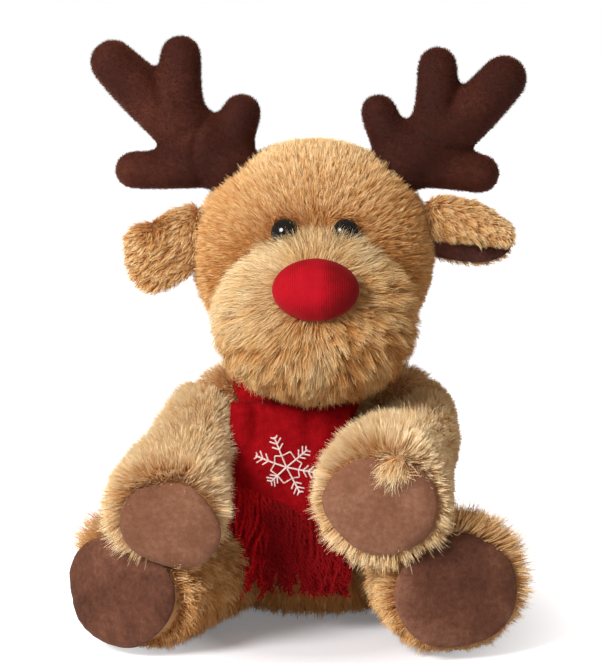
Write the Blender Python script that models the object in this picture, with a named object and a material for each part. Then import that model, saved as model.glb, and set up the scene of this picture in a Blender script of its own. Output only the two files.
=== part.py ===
"""A seated plush deer: stuffed plush covers, safety eyes, velour antlers and a fringed scarf.

Metres, +Z up. The deer faces -Y and sits on z = 0, with the origin under the middle of its body.
Each cover is a shell of cloth, open where it is sewn to the next, with its stuffing inside.
"""
import math

import bmesh
import bpy
from mathutils import Matrix, Vector

# Cloth thicknesses, with the pile counted in
plush_thickness = 0.006
velour_thickness = 0.002
lining_thickness = 0.0018
scarf_thickness = 0.0024
thread_thickness = 0.0009
pad_thickness = 0.0026

# Clearances
sewn_gap = 0.0003
stuffing_gap = 0.0007
rest_gap = 0.0006
swing_gap = 0.0005
limb_swing_room = 0.0014
tail_swing_room = 0.0022
core_gap = 0.0018
overrun = 0.012

# Body: a pear with a ball-shaped top, on which the head turns
body_half_width = 0.061
body_half_depth = 0.0545
body_back_shift = 0.004
neck_height = 0.105
neck_ball_radius = 0.040
neck_seam_thickness = 0.0011
neck_mouth_radius = 0.011
body_shares = (  # height, width, depth, shift to the back
    (0.00, 0.74, 0.74, 1.0),
    (0.06, 0.88, 0.89, 1.0),
    (0.20, 0.97, 0.98, 1.0),
    (0.38, 1.00, 1.00, 1.0),
    (0.58, 0.97, 0.98, 0.9),
    (0.77, 0.88, 0.90, 0.5),
    (0.92, 0.76, 0.80, 0.1),
)
neck_ball_latitudes = (0, 20, 40, 58, 75)
neck_seam_latitudes = (48, 57, 66)

# Bag of beads in the seat
bead_bag_half_width = 0.029
bead_bag_half_depth = 0.026
bead_bag_half_height = 0.0105
bead_bag_back = 0.014

# Head
head_half_width = 0.0645
head_half_depth = 0.062
head_half_height = 0.0615
head_height = 0.1895

# Muzzle, measured from the middle of the head
muzzle_half_width = 0.053
muzzle_half_depth = 0.046
muzzle_half_height = 0.044
muzzle_forward = 0.056
muzzle_drop = 0.028

# Nose, on the muzzle
nose_half_width = 0.0215
nose_half_depth = 0.0125
nose_half_height = 0.0155
nose_rise = 0.0205
nose_cloth_thickness = 0.0014

# Safety eyes
eye_radius = 0.007
eye_depth = 0.0052
eye_spacing = 0.0318
eye_rise = 0.0195
eye_stem_radius = 0.0022
eye_stem_length = 0.0145
eye_dome_degrees = (0, 30, 55, 75)
washer_radius = 0.0075
washer_thickness = 0.0014
washer_slack = 0.0042

# Arms, from the shoulder to the paw
shoulder_half_spacing = 0.0550
shoulder_forward = 0.004
shoulder_height = 0.1030
arm_length = 0.120
arm_root_radius = 0.0225
paw_radius = 0.034
arm_mouth_radius = 0.013
arm_left_shares = (  # outward, forward, up and thickness
    (0.000, 0.000, 0.000),
    (0.045, 0.250, -0.029),
    (0.090, 0.485, -0.095),
    (0.135, 0.715, -0.170),
    (0.155, 0.925, -0.222),
)
arm_left_thickness_shares = (0.66, 0.65, 0.68, 0.82, 0.90)
arm_right_shares = (
    (0.000, 0.000, 0.000),
    (0.006, 0.265, -0.057),
    (-0.078, 0.530, -0.112),
    (-0.149, 0.770, -0.145),
    (-0.170, 0.938, -0.163),
)
arm_right_thickness_shares = (0.66, 0.68, 0.83, 1.02, 1.04)
paw_pad_left_half_width = 0.0252
paw_pad_left_half_height = 0.0222
paw_pad_right_half_width = 0.0280
paw_pad_right_half_height = 0.0245

# Legs, from the hip to the sole, flat on the ground
hip_half_spacing = 0.047
hip_forward = 0.035
hip_height = 0.031
leg_length = 0.070
leg_root_radius = 0.026
foot_radius = 0.0362
foot_flat_depth = 0.0005
leg_mouth_radius = 0.013
leg_shares = (0.00, 0.34, 0.70, 1.00)
leg_thickness_shares = (0.72, 0.80, 0.93, 1.00)
leg_left_splay_degrees = 34
leg_right_splay_degrees = 14
leg_left_spread_degrees = 8
sole_half_width = 0.0298
sole_half_height = 0.0284

# Antlers, stuffed tines in one plane, from a ball sewn into the head
antler_reach = 0.060
antler_root_radius = 0.0165
antler_root_out = 0.0455
antler_root_rise = 0.0475
antler_mouth_radius = 0.008
antler_left_shares = (  # each tine: outward, up and thickness at each point
    ((0.00, 0.00, 0.255), (0.27, 0.21, 0.270), (0.54, 0.45, 0.245), (0.80, 0.68, 0.222), (1.00, 0.88, 0.200)),
    ((0.38, 0.36, 0.210), (0.42, 0.62, 0.195), (0.41, 0.94, 0.180)),
    ((0.02, 0.05, 0.200), (-0.07, 0.28, 0.180), (-0.13, 0.45, 0.160)),
    ((0.10, 0.00, 0.210), (0.48, -0.05, 0.178), (0.83, -0.06, 0.165)),
)
antler_right_shares = (
    ((0.00, 0.00, 0.255), (0.24, 0.19, 0.265), (0.46, 0.31, 0.235), (0.69, 0.52, 0.218), (0.89, 0.74, 0.205)),
    ((0.28, 0.24, 0.210), (0.31, 0.56, 0.190), (0.31, 0.85, 0.172)),
    ((0.00, 0.04, 0.195), (-0.12, 0.26, 0.175), (-0.20, 0.45, 0.160)),
    ((0.12, 0.00, 0.215), (0.40, -0.04, 0.190), (0.69, -0.09, 0.175)),
)

# Ears, folded over along their length
ear_length = 0.032
ear_root_radius = 0.0165
ear_root_out = 0.0705
ear_root_forward = 0.006
ear_root_rise = 0.0175
ear_fold_radius = 0.0085
ear_drop = 0.0255
ear_fold_degrees = (180, 144, 108, 72, 36, 0)
ear_left_shares = (  # along the ear: position, fold radius, rise, front flap and back flap
    (-0.50, 0.80, 0.34, 0.82, 0.66),
    (-0.12, 0.95, 0.30, 1.04, 0.80),
    (0.22, 1.00, 0.12, 1.08, 0.78),
    (0.55, 0.95, -0.02, 1.03, 0.70),
    (0.82, 0.80, -0.12, 0.82, 0.54),
    (0.95, 0.66, -0.24, 0.52, 0.34),
    (1.00, 0.48, -0.38, 0.24, 0.16),
)
ear_right_shares = (
    (-0.50, 0.80, 0.44, 0.46, 0.82),
    (-0.12, 0.95, 0.48, 0.46, 0.92),
    (0.22, 1.00, 0.42, 0.40, 0.92),
    (0.55, 0.95, 0.27, 0.34, 0.80),
    (0.82, 0.80, 0.06, 0.26, 0.54),
    (0.95, 0.66, -0.06, 0.20, 0.32),
    (1.00, 0.48, -0.18, 0.12, 0.14),
)

# Tail
tail_root_radius = 0.011
tail_length = 0.022
tail_height = 0.030
tail_place_shares = (0.00, 0.45, 0.80)
tail_thickness_shares = (1.00, 1.10, 0.85)
tail_sides = 10
tail_wall_share = 0.5

# Closing stitch in the back
stitch_low = 0.055
stitch_high = 0.085
stitch_radius = 0.0007
stitch_count = 6
stitch_sides = 4

# Scarf: the loop round the neck
loop_front_radius = 0.0530
loop_side_radius = 0.0388
loop_back_radius = 0.0388
loop_front_height = 0.0985
loop_side_height = 0.1300
loop_back_height = 0.1245
loop_front_half_width = 0.0115
loop_front_half_thickness = 0.0026
loop_roll_half_width = 0.0046
loop_roll_half_thickness = 0.0038
loop_lean_degrees = 50
loop_front_sharpness = 5
loop_stations = 28
loop_sides = 8

# Scarf: the two tails, hung in front of the belly
tail_hang_height = 0.1100
tail_hang_recess = 0.0009
top_tail_left = 0.0405
top_tail_right = 0.0140
top_tail_left_drop = 0.033
top_tail_right_drop = 0.058
under_tail_left = 0.0240
under_tail_right = 0.0175
under_tail_left_drop = 0.058
under_tail_right_drop = 0.062
tail_layer_gap = 0.0005
tail_side_curl = 0.0060
tail_lean = 0.0235
tail_lean_power = 1.4
tail_columns = 6
tail_rows = 4
fringe_length = 0.033
fringe_short_share = 0.55
fringe_strand_width = 0.0027
fringe_strand_gap = 0.0020
fringe_thickness_share = 0.80
hem_height = 0.004
fringe_rows = 3

# Embroidered snowflake on the top tail
snowflake_radius = 0.0170
snowflake_across = 0.0140
snowflake_drop = 0.0205
snowflake_thread = 0.0011
snowflake_tilt_degrees = 9
snowflake_branch_shares = ((0.62, 0.20), (0.80, 0.17))
snowflake_branch_degrees = 52
snowflake_star_shares = (0.46, 0.27)
snowflake_bar_shares = (-1.00, -0.50, 0.00, 0.50, 1.00)
snowflake_least_mitre = 0.4
snowflake_star_level_shares = (0.08, 0.88)
snowflake_branch_level_shares = (0.12, 0.80)
snowflake_bar_step_share = 0.02

# Profiles of the ends and the pads: out along the end, and reach
round_cap_degrees = (58, 28)
flat_end_shares = ((0.24, 0.98), (0.45, 0.84))
pad_profile_shares = ((0.00, 0.97), (0.30, 1.00), (0.72, 0.90), (0.92, 0.62))

# How fine the round shapes are
merge_distance = 0.00002
body_sides = 18
limb_sides = 12
core_sides = 10
tine_sides = 8
small_sides = 12
ball_sides = 16
seam_sides = 22
hollow_sides = 14


def clear_scene():
    for thing in list(bpy.data.objects):
        bpy.data.objects.remove(thing, do_unlink=True)


def material(name, colour, roughness, metallic=0.0):
    made = bpy.data.materials.new(name)
    made.use_nodes = True
    shader = made.node_tree.nodes["Principled BSDF"]
    shader.inputs["Base Color"].default_value = (*colour, 1.0)
    shader.inputs["Roughness"].default_value = roughness
    shader.inputs["Metallic"].default_value = metallic
    return made


def new_object(name, mesh):
    made = bpy.data.objects.new(name, mesh)
    bpy.context.scene.collection.objects.link(made)
    return made


def object_from_bmesh(name, shape):
    bmesh.ops.recalc_face_normals(shape, faces=shape.faces)
    mesh = bpy.data.meshes.new(name)
    shape.to_mesh(mesh)
    shape.free()
    return new_object(name, mesh)


def skin(name, rings, start=None, end=None):
    """A closed shape over rings of points; each end is a pole, or flat where no pole is given."""
    shape = bmesh.new()
    rows = [[shape.verts.new(point) for point in ring] for ring in rings]
    for low, high in zip(rows, rows[1:]):
        for index in range(len(low)):
            after = (index + 1) % len(low)
            shape.faces.new((low[index], low[after], high[after], high[index]))
    for row, pole in ((rows[0], start), (rows[-1], end)):
        if pole is None:
            shape.faces.new(row)
            continue
        tip = shape.verts.new(pole)
        for index in range(len(row)):
            shape.faces.new((row[index], row[(index + 1) % len(row)], tip))
    return object_from_bmesh(name, shape)


def ellipse(centre, side, up, half_width, half_height, sides):
    points = []
    for index in range(sides):
        angle = 2 * math.pi * index / sides
        points.append(centre + side * half_width * math.cos(angle) + up * half_height * math.sin(angle))
    return points


def ellipsoid(name, centre, half_sizes, sides=body_sides):
    rings = []
    steps = sides // 2
    right, back = Vector((1, 0, 0)), Vector((0, 1, 0))
    for index in range(1, steps):
        latitude = math.pi * (index / steps - 0.5)
        reach = math.cos(latitude)
        middle = centre + Vector((0, 0, half_sizes[2] * math.sin(latitude)))
        rings.append(ellipse(middle, right, back, half_sizes[0] * reach, half_sizes[1] * reach, sides))
    pole = Vector((0, 0, half_sizes[2]))
    return skin(name, rings, centre - pole, centre + pole)


def ball(name, centre, radius, sides=ball_sides):
    return ellipsoid(name, centre, (radius, radius, radius), sides)


def polygon_slack(radius, sides):
    """How much a round shape of flat sides grows to clear a circle inside it."""
    return radius * (1 / math.cos(math.pi / sides) - 1)


def roomy_ball(name, centre, radius, sides):
    """A ball of flat sides that clears a round one of this radius however it is turned."""
    return ball(name, centre, radius + 2 * polygon_slack(radius, sides), sides)


def rod(name, start, end, radius, sides=small_sides):
    along = (end - start).normalized()
    side = along.orthogonal().normalized()
    up = along.cross(side)
    return skin(name, [ellipse(point, side, up, radius, radius, sides) for point in (start, end)])


def smooth_path(points, values, steps):
    """Points and their values along a Catmull-Rom curve through the given ones."""
    rows = [(*point, value) for point, value in zip(points, values)]
    rows = [rows[0]] + rows + [rows[-1]]
    path = []
    for first, second, third, fourth in zip(rows, rows[1:], rows[2:], rows[3:]):
        for step in range(steps):
            t = step / steps
            path.append([
                0.5 * (2 * b + (c - a) * t + (2 * a - 5 * b + 4 * c - d) * t * t
                       + (3 * b - 3 * c + d - a) * t ** 3)
                for a, b, c, d in zip(first, second, third, fourth)
            ])
    path.append(list(rows[-2]))
    return [Vector(row[:3]) for row in path], [row[3] for row in path]


def limb(name, points, radii, grow, sides, flat_end, reference=Vector((0, 0, 1)), steps=2):
    """A stuffed tube along a path: a round root, and a round or a flat end for a pad."""
    path, sizes = smooth_path(points, radii, steps)
    rings = []
    count = len(path)
    for index, (point, size) in enumerate(zip(path, sizes)):
        along = (path[min(index + 1, count - 1)] - path[max(index - 1, 0)]).normalized()
        side = along.cross(reference).normalized()
        up = side.cross(along)
        radius = size + grow
        if index == 0:
            first = (point, along, side, up, radius)
        if index == count - 1:
            last = (point, along, side, up, radius)
        rings.append(ellipse(point, side, up, radius, radius, sides))
    point, along, side, up, radius = first
    caps = []
    for angle in round_cap_degrees:
        turn = math.radians(angle)
        reach = radius * math.cos(turn)
        caps.append(ellipse(point - along * radius * math.sin(turn), side, up, reach, reach, sides))
    rings = caps + rings
    start = point - along * radius
    point, along, side, up, radius = last
    if flat_end:
        for out_share, reach_share in flat_end_shares:
            full = radius - grow
            out = full * out_share + grow * out_share / flat_end_shares[-1][0]
            reach = full * reach_share + grow
            rings.append(ellipse(point + along * out, side, up, reach, reach, sides))
        return skin(name, rings, start, None)
    for angle in reversed(round_cap_degrees):
        turn = math.radians(angle)
        reach = radius * math.cos(turn)
        rings.append(ellipse(point + along * radius * math.sin(turn), side, up, reach, reach, sides))
    return skin(name, rings, start, point + along * radius)


def combine(target, other, operation):
    """Cuts or joins one shape with another, which is used up."""
    change = target.modifiers.new(operation.lower(), "BOOLEAN")
    change.operation = operation
    change.solver = "EXACT"
    change.object = other
    bpy.context.view_layer.update()
    view = bpy.context.evaluated_depsgraph_get()
    mesh = bpy.data.meshes.new_from_object(target.evaluated_get(view))
    target.modifiers.clear()
    target.data = mesh
    bpy.data.objects.remove(other, do_unlink=True)
    return target


def cut(target, *others):
    for other in others:
        combine(target, other, "DIFFERENCE")
    return target


def join(target, *others):
    for other in others:
        combine(target, other, "UNION")
    return target


def finish(thing, look, smooth_degrees=50):
    """Merges stray points, shades the piece smooth and gives it its material."""
    shape = bmesh.new()
    shape.from_mesh(thing.data)
    bmesh.ops.remove_doubles(shape, verts=shape.verts, dist=merge_distance)
    bmesh.ops.dissolve_degenerate(shape, edges=shape.edges, dist=merge_distance)
    shape.to_mesh(thing.data)
    shape.free()
    thing.data.materials.clear()
    thing.data.materials.append(look)
    thing.data.shade_smooth()
    thing.data.set_sharp_from_angle(angle=math.radians(smooth_degrees))
    return thing


def joint(name, place, parent=None):
    """An empty on a joint's axis, which carries the pieces that move with it."""
    made = bpy.data.objects.new(name, None)
    bpy.context.scene.collection.objects.link(made)
    made.empty_display_size = paw_radius
    if parent:
        made.parent = parent
        made.location = place - Vector(parent["place"])
    else:
        made.location = place
    made["place"] = tuple(place)
    return made


def carry(pivot, *things):
    for thing in things:
        thing.data.transform(Matrix.Translation(-Vector(pivot["place"])))
        thing.parent = pivot


neck = Vector((0, 0, neck_height))
head_middle = Vector((0, 0, head_height))
muzzle_middle = head_middle + Vector((0, -muzzle_forward, -muzzle_drop))


tail_hang_forward = loop_front_radius + loop_front_half_thickness + sewn_gap - tail_hang_recess


def shoulder(side):
    return Vector((side * shoulder_half_spacing, -shoulder_forward, shoulder_height))


def hip(side):
    return Vector((side * hip_half_spacing, -hip_forward, hip_height))


def antler_root(side):
    return head_middle + Vector((side * antler_root_out, 0, antler_root_rise))


def ear_root(side):
    return head_middle + Vector((side * ear_root_out, -ear_root_forward, ear_root_rise))


def body_row(share_row, grow):
    """Height, half width, half depth and shift of one level of the body."""
    height_share, width_share, depth_share, shift_share = share_row
    height = -grow + height_share * (neck_height + grow)
    return (height, body_half_width * width_share + grow, body_half_depth * depth_share + grow,
            body_back_shift * shift_share)


def body_form(name, grow, sides=body_sides):
    right, back = Vector((1, 0, 0)), Vector((0, 1, 0))
    rings = []
    for share_row in body_shares:
        height, half_width, half_depth, shift = body_row(share_row, grow)
        rings.append(ellipse(Vector((0, shift, height)), right, back, half_width, half_depth, sides))
    radius = neck_ball_radius + grow
    for latitude in neck_ball_latitudes:
        turn = math.radians(latitude)
        level = neck + Vector((0, 0, radius * math.sin(turn)))
        rings.append(ellipse(level, right, back, radius * math.cos(turn), radius * math.cos(turn), sides))
    return skin(name, rings, None, neck + Vector((0, 0, radius)))


def body_surface(height):
    """Half width, half depth and shift of the body's outside at a height."""
    levels = [body_row(row, 0) for row in body_shares]
    levels.append((neck_height, neck_ball_radius, neck_ball_radius, 0))
    for low, high in zip(levels, levels[1:]):
        if low[0] <= height <= high[0]:
            share = (height - low[0]) / (high[0] - low[0])
            return [a + (b - a) * share for a, b in zip(low[1:], high[1:])]
    return levels[-1][1:]


def tail_root():
    half_width, half_depth, shift = body_surface(tail_height)
    return Vector((0, shift + half_depth, tail_height))


def sockets(grow, sides):
    """The hollows in the body where the limbs and the tail are sewn in."""
    made = []
    for side in (-1, 1):
        made.append(roomy_ball("socket", shoulder(side), arm_root_radius + swing_gap + grow, sides))
        made.append(roomy_ball("socket", hip(side), leg_root_radius + swing_gap + grow, sides))
    made.append(roomy_ball("socket", tail_root(), tail_root_radius + swing_gap + grow, small_sides))
    return made


def make_body(plush, filling, beads, thread):
    cover = cut(body_form("body_cover", 0), body_form("hollow", -plush_thickness, hollow_sides),
                *sockets(0, ball_sides))
    top = neck + Vector((0, 0, neck_ball_radius))
    reach = Vector((0, 0, plush_thickness + overrun))
    cut(cover, rod("mouth", top - reach, top + reach, neck_mouth_radius))
    core = cut(body_form("body_stuffing", -plush_thickness - stuffing_gap, hollow_sides),
               *sockets(core_gap, hollow_sides))
    bag_middle = Vector((0, bead_bag_back, plush_thickness + sewn_gap + bead_bag_half_height))
    bag_sizes = (bead_bag_half_width, bead_bag_half_depth, bead_bag_half_height)
    bag = ellipsoid("bead_bag", bag_middle, bag_sizes, small_sides)
    pocket = ellipsoid("pocket", bag_middle, [size + rest_gap for size in bag_sizes], small_sides)
    cut(core, pocket)
    stitch = make_closing_stitch()
    return (finish(cover, plush), finish(core, filling), finish(bag, beads), finish(stitch, thread))


def make_closing_stitch():
    """A thread laid up the middle of the back, with a small loop at each stitch."""
    points = []
    for index in range(2 * stitch_count + 1):
        height = stitch_low + (stitch_high - stitch_low) * index / (2 * stitch_count)
        half_width, half_depth, shift = body_surface(height)
        sway = stitch_radius * 2 * math.sin(math.pi * index / 2)
        half_depth *= math.cos(math.pi / body_sides)
        points.append(Vector((sway, shift + half_depth + stitch_radius + sewn_gap, height)))
    return limb("closing_stitch", points, [stitch_radius] * len(points), 0, stitch_sides, False,
                Vector((0, 1, 0)), 1)


def make_neck_seam(thread):
    """The ring of seam cloth between the body's round top and the hollow of the head."""
    inner = neck_ball_radius + swing_gap
    rows = [(latitude, inner + neck_seam_thickness) for latitude in neck_seam_latitudes]
    rows += [(latitude, inner) for latitude in reversed(neck_seam_latitudes)]
    shape = bmesh.new()
    columns = []
    for index in range(seam_sides):
        turn = 2 * math.pi * index / seam_sides
        column = []
        for latitude, radius in rows:
            rise = math.radians(latitude)
            flat = radius * math.cos(rise)
            column.append(shape.verts.new(neck + Vector((flat * math.cos(turn), flat * math.sin(turn),
                                                         radius * math.sin(rise)))))
        columns.append(column)
    for index, column in enumerate(columns):
        beside = columns[(index + 1) % seam_sides]
        for row in range(len(rows)):
            under = (row + 1) % len(rows)
            shape.faces.new((column[row], beside[row], beside[under], column[under]))
    return finish(object_from_bmesh("neck_seam", shape), thread)


def head_form(name, grow, sides=body_sides):
    sizes = [size + grow for size in (head_half_width, head_half_depth, head_half_height)]
    return ellipsoid(name, head_middle, sizes, sides)


def muzzle_form(name, grow, sides=body_sides):
    sizes = [size + grow for size in (muzzle_half_width, muzzle_half_depth, muzzle_half_height)]
    return ellipsoid(name, muzzle_middle, sizes, sides)


def neck_hollow(grow, sides=seam_sides):
    radius = neck_ball_radius + swing_gap + neck_seam_thickness + swing_gap + grow
    return roomy_ball("neck_hollow", neck, radius, sides)


def ear_hollow(side, grow, sides):
    """The slot in the head where an ear's round root turns."""
    radius = ear_root_radius + swing_gap + grow
    reach = Vector((0, ear_fold_radius + swing_gap + grow, 0))
    root = ear_root(side)
    return rod("ear_hollow", root - reach, root + reach, radius, sides)


def head_hollows(grow, sides):
    made = [neck_hollow(grow)]
    for side in (-1, 1):
        radius = antler_root_radius + swing_gap + grow
        made.append(roomy_ball("antler_hollow", antler_root(side), radius, sides))
        made.append(ear_hollow(side, grow, sides))
    return made


def eye_place(side):
    """Where an eye's flat back meets the head, and the way it looks."""
    across = side * eye_spacing / 2
    depth = math.sqrt(1 - (across / head_half_width) ** 2 - (eye_rise / head_half_height) ** 2)
    point = Vector((across, -head_half_depth * depth, eye_rise))
    outward = Vector((point.x / head_half_width ** 2, point.y / head_half_depth ** 2,
                      point.z / head_half_height ** 2)).normalized()
    return head_middle + point, outward


def eye_dome(name, base, outward):
    side = outward.orthogonal().normalized()
    up = outward.cross(side)
    rings = []
    for degrees in eye_dome_degrees:
        turn = math.radians(degrees)
        level = base + outward * eye_depth * math.sin(turn)
        rings.append(ellipse(level, side, up, eye_radius * math.cos(turn), eye_radius * math.cos(turn),
                             limb_sides))
    return skin(name, rings, None, base + outward * eye_depth)


def washer_base(base, outward):
    return base - outward * (plush_thickness + washer_slack + sewn_gap)


def make_eye(side, name, black, clear_plastic):
    """A safety eye: a glossy dome whose stem passes the cover and holds a washer inside."""
    surface, outward = eye_place(side)
    base = surface + outward * sewn_gap
    stem_end = base - outward * eye_stem_length
    eye = join(eye_dome("eye_" + name, base, outward),
               rod("stem", base + outward * eye_depth / 2, stem_end, eye_stem_radius))
    back = washer_base(surface, outward)
    washer = rod("eye_washer_" + name, back, back - outward * washer_thickness, washer_radius, body_sides)
    hole = eye_stem_radius + sewn_gap
    reach = outward * overrun
    cut(washer, rod("hole", back + reach, back - reach, hole))
    return finish(eye, black), finish(washer, clear_plastic, 30)


def eye_holes(grow):
    made = []
    for side in (-1, 1):
        surface, outward = eye_place(side)
        made.append(rod("hole", surface + outward * overrun, surface - outward * (eye_stem_length + rest_gap),
                        eye_stem_radius + sewn_gap + grow))
    return made


def washer_pockets():
    made = []
    for side in (-1, 1):
        surface, outward = eye_place(side)
        back = washer_base(surface, outward)
        made.append(rod("pocket", back + outward * rest_gap,
                        back - outward * (washer_thickness + rest_gap),
                        washer_radius + rest_gap))
    return made


def make_head(plush, filling):
    cover = cut(head_form("head_cover", 0), head_form("hollow", -plush_thickness, hollow_sides),
                *head_hollows(0, ball_sides), *eye_holes(0))
    core = cut(head_form("head_stuffing", -plush_thickness - stuffing_gap, hollow_sides),
               *head_hollows(core_gap, hollow_sides), *eye_holes(rest_gap), *washer_pockets())
    return finish(cover, plush), finish(core, filling)


def eye_rooms():
    made = []
    for side in (-1, 1):
        surface, outward = eye_place(side)
        made.append(ball("eye_room", surface, eye_radius + rest_gap, body_sides))
    return made


def make_muzzle(plush, filling):
    cover = cut(muzzle_form("muzzle_cover", 0), muzzle_form("hollow", -plush_thickness, hollow_sides),
                head_form("head_room", sewn_gap), neck_hollow(0), *eye_rooms())
    core = cut(muzzle_form("muzzle_stuffing", -plush_thickness - stuffing_gap, hollow_sides),
               head_form("head_room", stuffing_gap, body_sides), neck_hollow(core_gap, hollow_sides))
    return finish(cover, plush), finish(core, filling)


def make_nose(cloth, filling):
    share = math.sqrt(1 - (nose_rise / muzzle_half_height) ** 2)
    middle = muzzle_middle + Vector((0, -muzzle_half_depth * share, nose_rise))
    sizes = Vector((nose_half_width, nose_half_depth, nose_half_height))
    inside = sizes - Vector([nose_cloth_thickness] * 3)
    filled = inside - Vector([sewn_gap] * 3)
    cover = cut(ellipsoid("nose_cover", middle, sizes, limb_sides),
                ellipsoid("hollow", middle, inside, limb_sides), muzzle_form("muzzle_room", sewn_gap))
    core = cut(ellipsoid("nose_stuffing", middle, filled, limb_sides),
               muzzle_form("muzzle_room", stuffing_gap))
    return finish(cover, cloth), finish(core, filling)


def arm_path(side):
    shares = arm_left_shares if side < 0 else arm_right_shares
    thickness = arm_left_thickness_shares if side < 0 else arm_right_thickness_shares
    root = shoulder(side)
    points = [root + Vector((side * out, -forward, up)) * arm_length for out, forward, up in shares]
    return points, [paw_radius * share for share in thickness]


def leg_path(side):
    splay = math.radians(leg_left_splay_degrees if side < 0 else leg_right_splay_degrees)
    root = hip(side)
    ahead = Vector((side * math.sin(splay), -math.cos(splay), 0))
    points = []
    sizes = [foot_radius * share for share in leg_thickness_shares]
    foot_height = foot_radius - foot_flat_depth
    for share in leg_shares:
        point = root + ahead * leg_length * share
        point.z = hip_height + (foot_height - hip_height) * share
        points.append(point)
    return points, sizes


def leg_form(name, side, grow, sides=limb_sides, steps=2):
    points, sizes = leg_path(side)
    return limb(name, points, sizes, grow, sides, True, Vector((0, 0, 1)), steps)


def ground_block(height):
    """Everything under a height, for cutting a form flat."""
    reach = body_half_width + leg_length + foot_radius + overrun
    shape = bmesh.new()
    bmesh.ops.create_cube(shape, size=1)
    bmesh.ops.scale(shape, vec=(4 * reach, 4 * reach, reach), verts=shape.verts)
    bmesh.ops.translate(shape, vec=(0, 0, height - reach / 2), verts=shape.verts)
    return object_from_bmesh("ground", shape)


def end_place(points, sizes):
    """The middle of a limb's flat end, and the way it faces."""
    along = (points[-1] - points[-2]).normalized()
    path, radii = smooth_path(points, sizes, 2)
    along = (path[-1] - path[-2]).normalized()
    return points[-1] + along * sizes[-1] * flat_end_shares[-1][0], along


def body_room(grow):
    slack = polygon_slack(body_half_width, hollow_sides)
    return body_form("body_room", swing_gap + slack + grow, hollow_sides)


def leg_room(side, grow):
    slack = polygon_slack(foot_radius, small_sides)
    return leg_form("leg_room", side, rest_gap + slack + grow, small_sides, 1)


def sole_room(side, grow):
    points, sizes = leg_path(side)
    centre, along = end_place(points, sizes)
    reach = pad_thickness + sewn_gap + rest_gap + grow
    radius = sole_half_width + polygon_slack(sole_half_width, small_sides) + rest_gap + grow
    return rod("sole_room", centre - along * overrun, centre + along * reach, radius, small_sides)


def spread_about_hip(room, side, degrees):
    """Turns a leg's room outward, as far as the leg can spread under the paw."""
    pivot = Matrix.Translation(hip(side))
    room.data.transform(pivot @ Matrix.Rotation(side * math.radians(degrees), 4, "Z") @ pivot.inverted())
    return room


def make_pad(name, points, sizes, half_width, half_height, look):
    """A domed patch of velour on the flat end of a paw or a foot."""
    centre, along = end_place(points, sizes)
    side = along.cross(Vector((0, 0, 1))).normalized()
    up = side.cross(along)
    rings = []
    for out_share, reach_share in pad_profile_shares:
        level = centre + along * (sewn_gap + pad_thickness * out_share)
        reach = (half_width * reach_share, half_height * reach_share)
        rings.append(ellipse(level, side, up, *reach, body_sides))
    return finish(skin(name, rings, None, centre + along * (sewn_gap + pad_thickness)), look)


def make_arm(side, name, plush, velour, filling):
    points, sizes = arm_path(side)
    toward_body = Vector((-side, 0, 0))

    def arm_form(label, grow, sides, steps):
        return limb(label, points, sizes, grow, sides, True, Vector((0, 0, 1)), steps)

    def neighbours(grow):
        made = [body_room(grow + limb_swing_room)]
        for spread in (0, leg_left_spread_degrees) if side < 0 else (0,):
            for room in (leg_room(side, grow), sole_room(side, grow)):
                made.append(spread_about_hip(room, side, spread))
        return made

    root = points[0]
    outside = cut(arm_form("arm_%s_cover" % name, 0, limb_sides, 2), *neighbours(0))
    join(outside, ball("root", root, arm_root_radius, limb_sides))
    inside = cut(arm_form("hollow", -plush_thickness, core_sides, 1), *neighbours(plush_thickness))
    join(inside, ball("root", root, arm_root_radius - plush_thickness, core_sides))
    cover = cut(outside, inside)
    cut(cover, rod("mouth", root, root + toward_body * (arm_root_radius + overrun), arm_mouth_radius))
    inner = -plush_thickness - stuffing_gap
    core = cut(arm_form("arm_%s_stuffing" % name, inner, core_sides, 1),
               *neighbours(plush_thickness + stuffing_gap))
    join(core, ball("root", root, arm_root_radius + inner - stuffing_gap, core_sides))
    half_width = paw_pad_left_half_width if side < 0 else paw_pad_right_half_width
    half_height = paw_pad_left_half_height if side < 0 else paw_pad_right_half_height
    pad = make_pad("paw_pad_" + name, points, sizes, half_width, half_height, velour)
    return finish(cover, plush), finish(core, filling), pad


def make_leg(side, name, plush, velour, filling):
    points, sizes = leg_path(side)
    root = points[0]
    toward_body = (root - points[1]).normalized()
    outside = cut(leg_form("leg_%s_cover" % name, side, 0), body_room(limb_swing_room), ground_block(0))
    join(outside, ball("root", root, leg_root_radius, limb_sides))
    inside = cut(leg_form("hollow", side, -plush_thickness, core_sides, 1),
                 body_room(plush_thickness + limb_swing_room), ground_block(plush_thickness))
    join(inside, ball("root", root, leg_root_radius - plush_thickness, core_sides))
    cover = cut(outside, inside)
    cut(cover, rod("mouth", root, root + toward_body * (leg_root_radius + overrun), leg_mouth_radius))
    inner = -plush_thickness - stuffing_gap
    core = cut(leg_form("leg_%s_stuffing" % name, side, inner, core_sides, 1),
               body_room(plush_thickness + stuffing_gap + limb_swing_room),
               ground_block(plush_thickness + stuffing_gap))
    join(core, ball("root", root, leg_root_radius + inner - stuffing_gap, core_sides))
    pad = make_pad("sole_" + name, points, sizes, sole_half_width, sole_half_height, velour)
    return finish(cover, plush), finish(core, filling), pad


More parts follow.
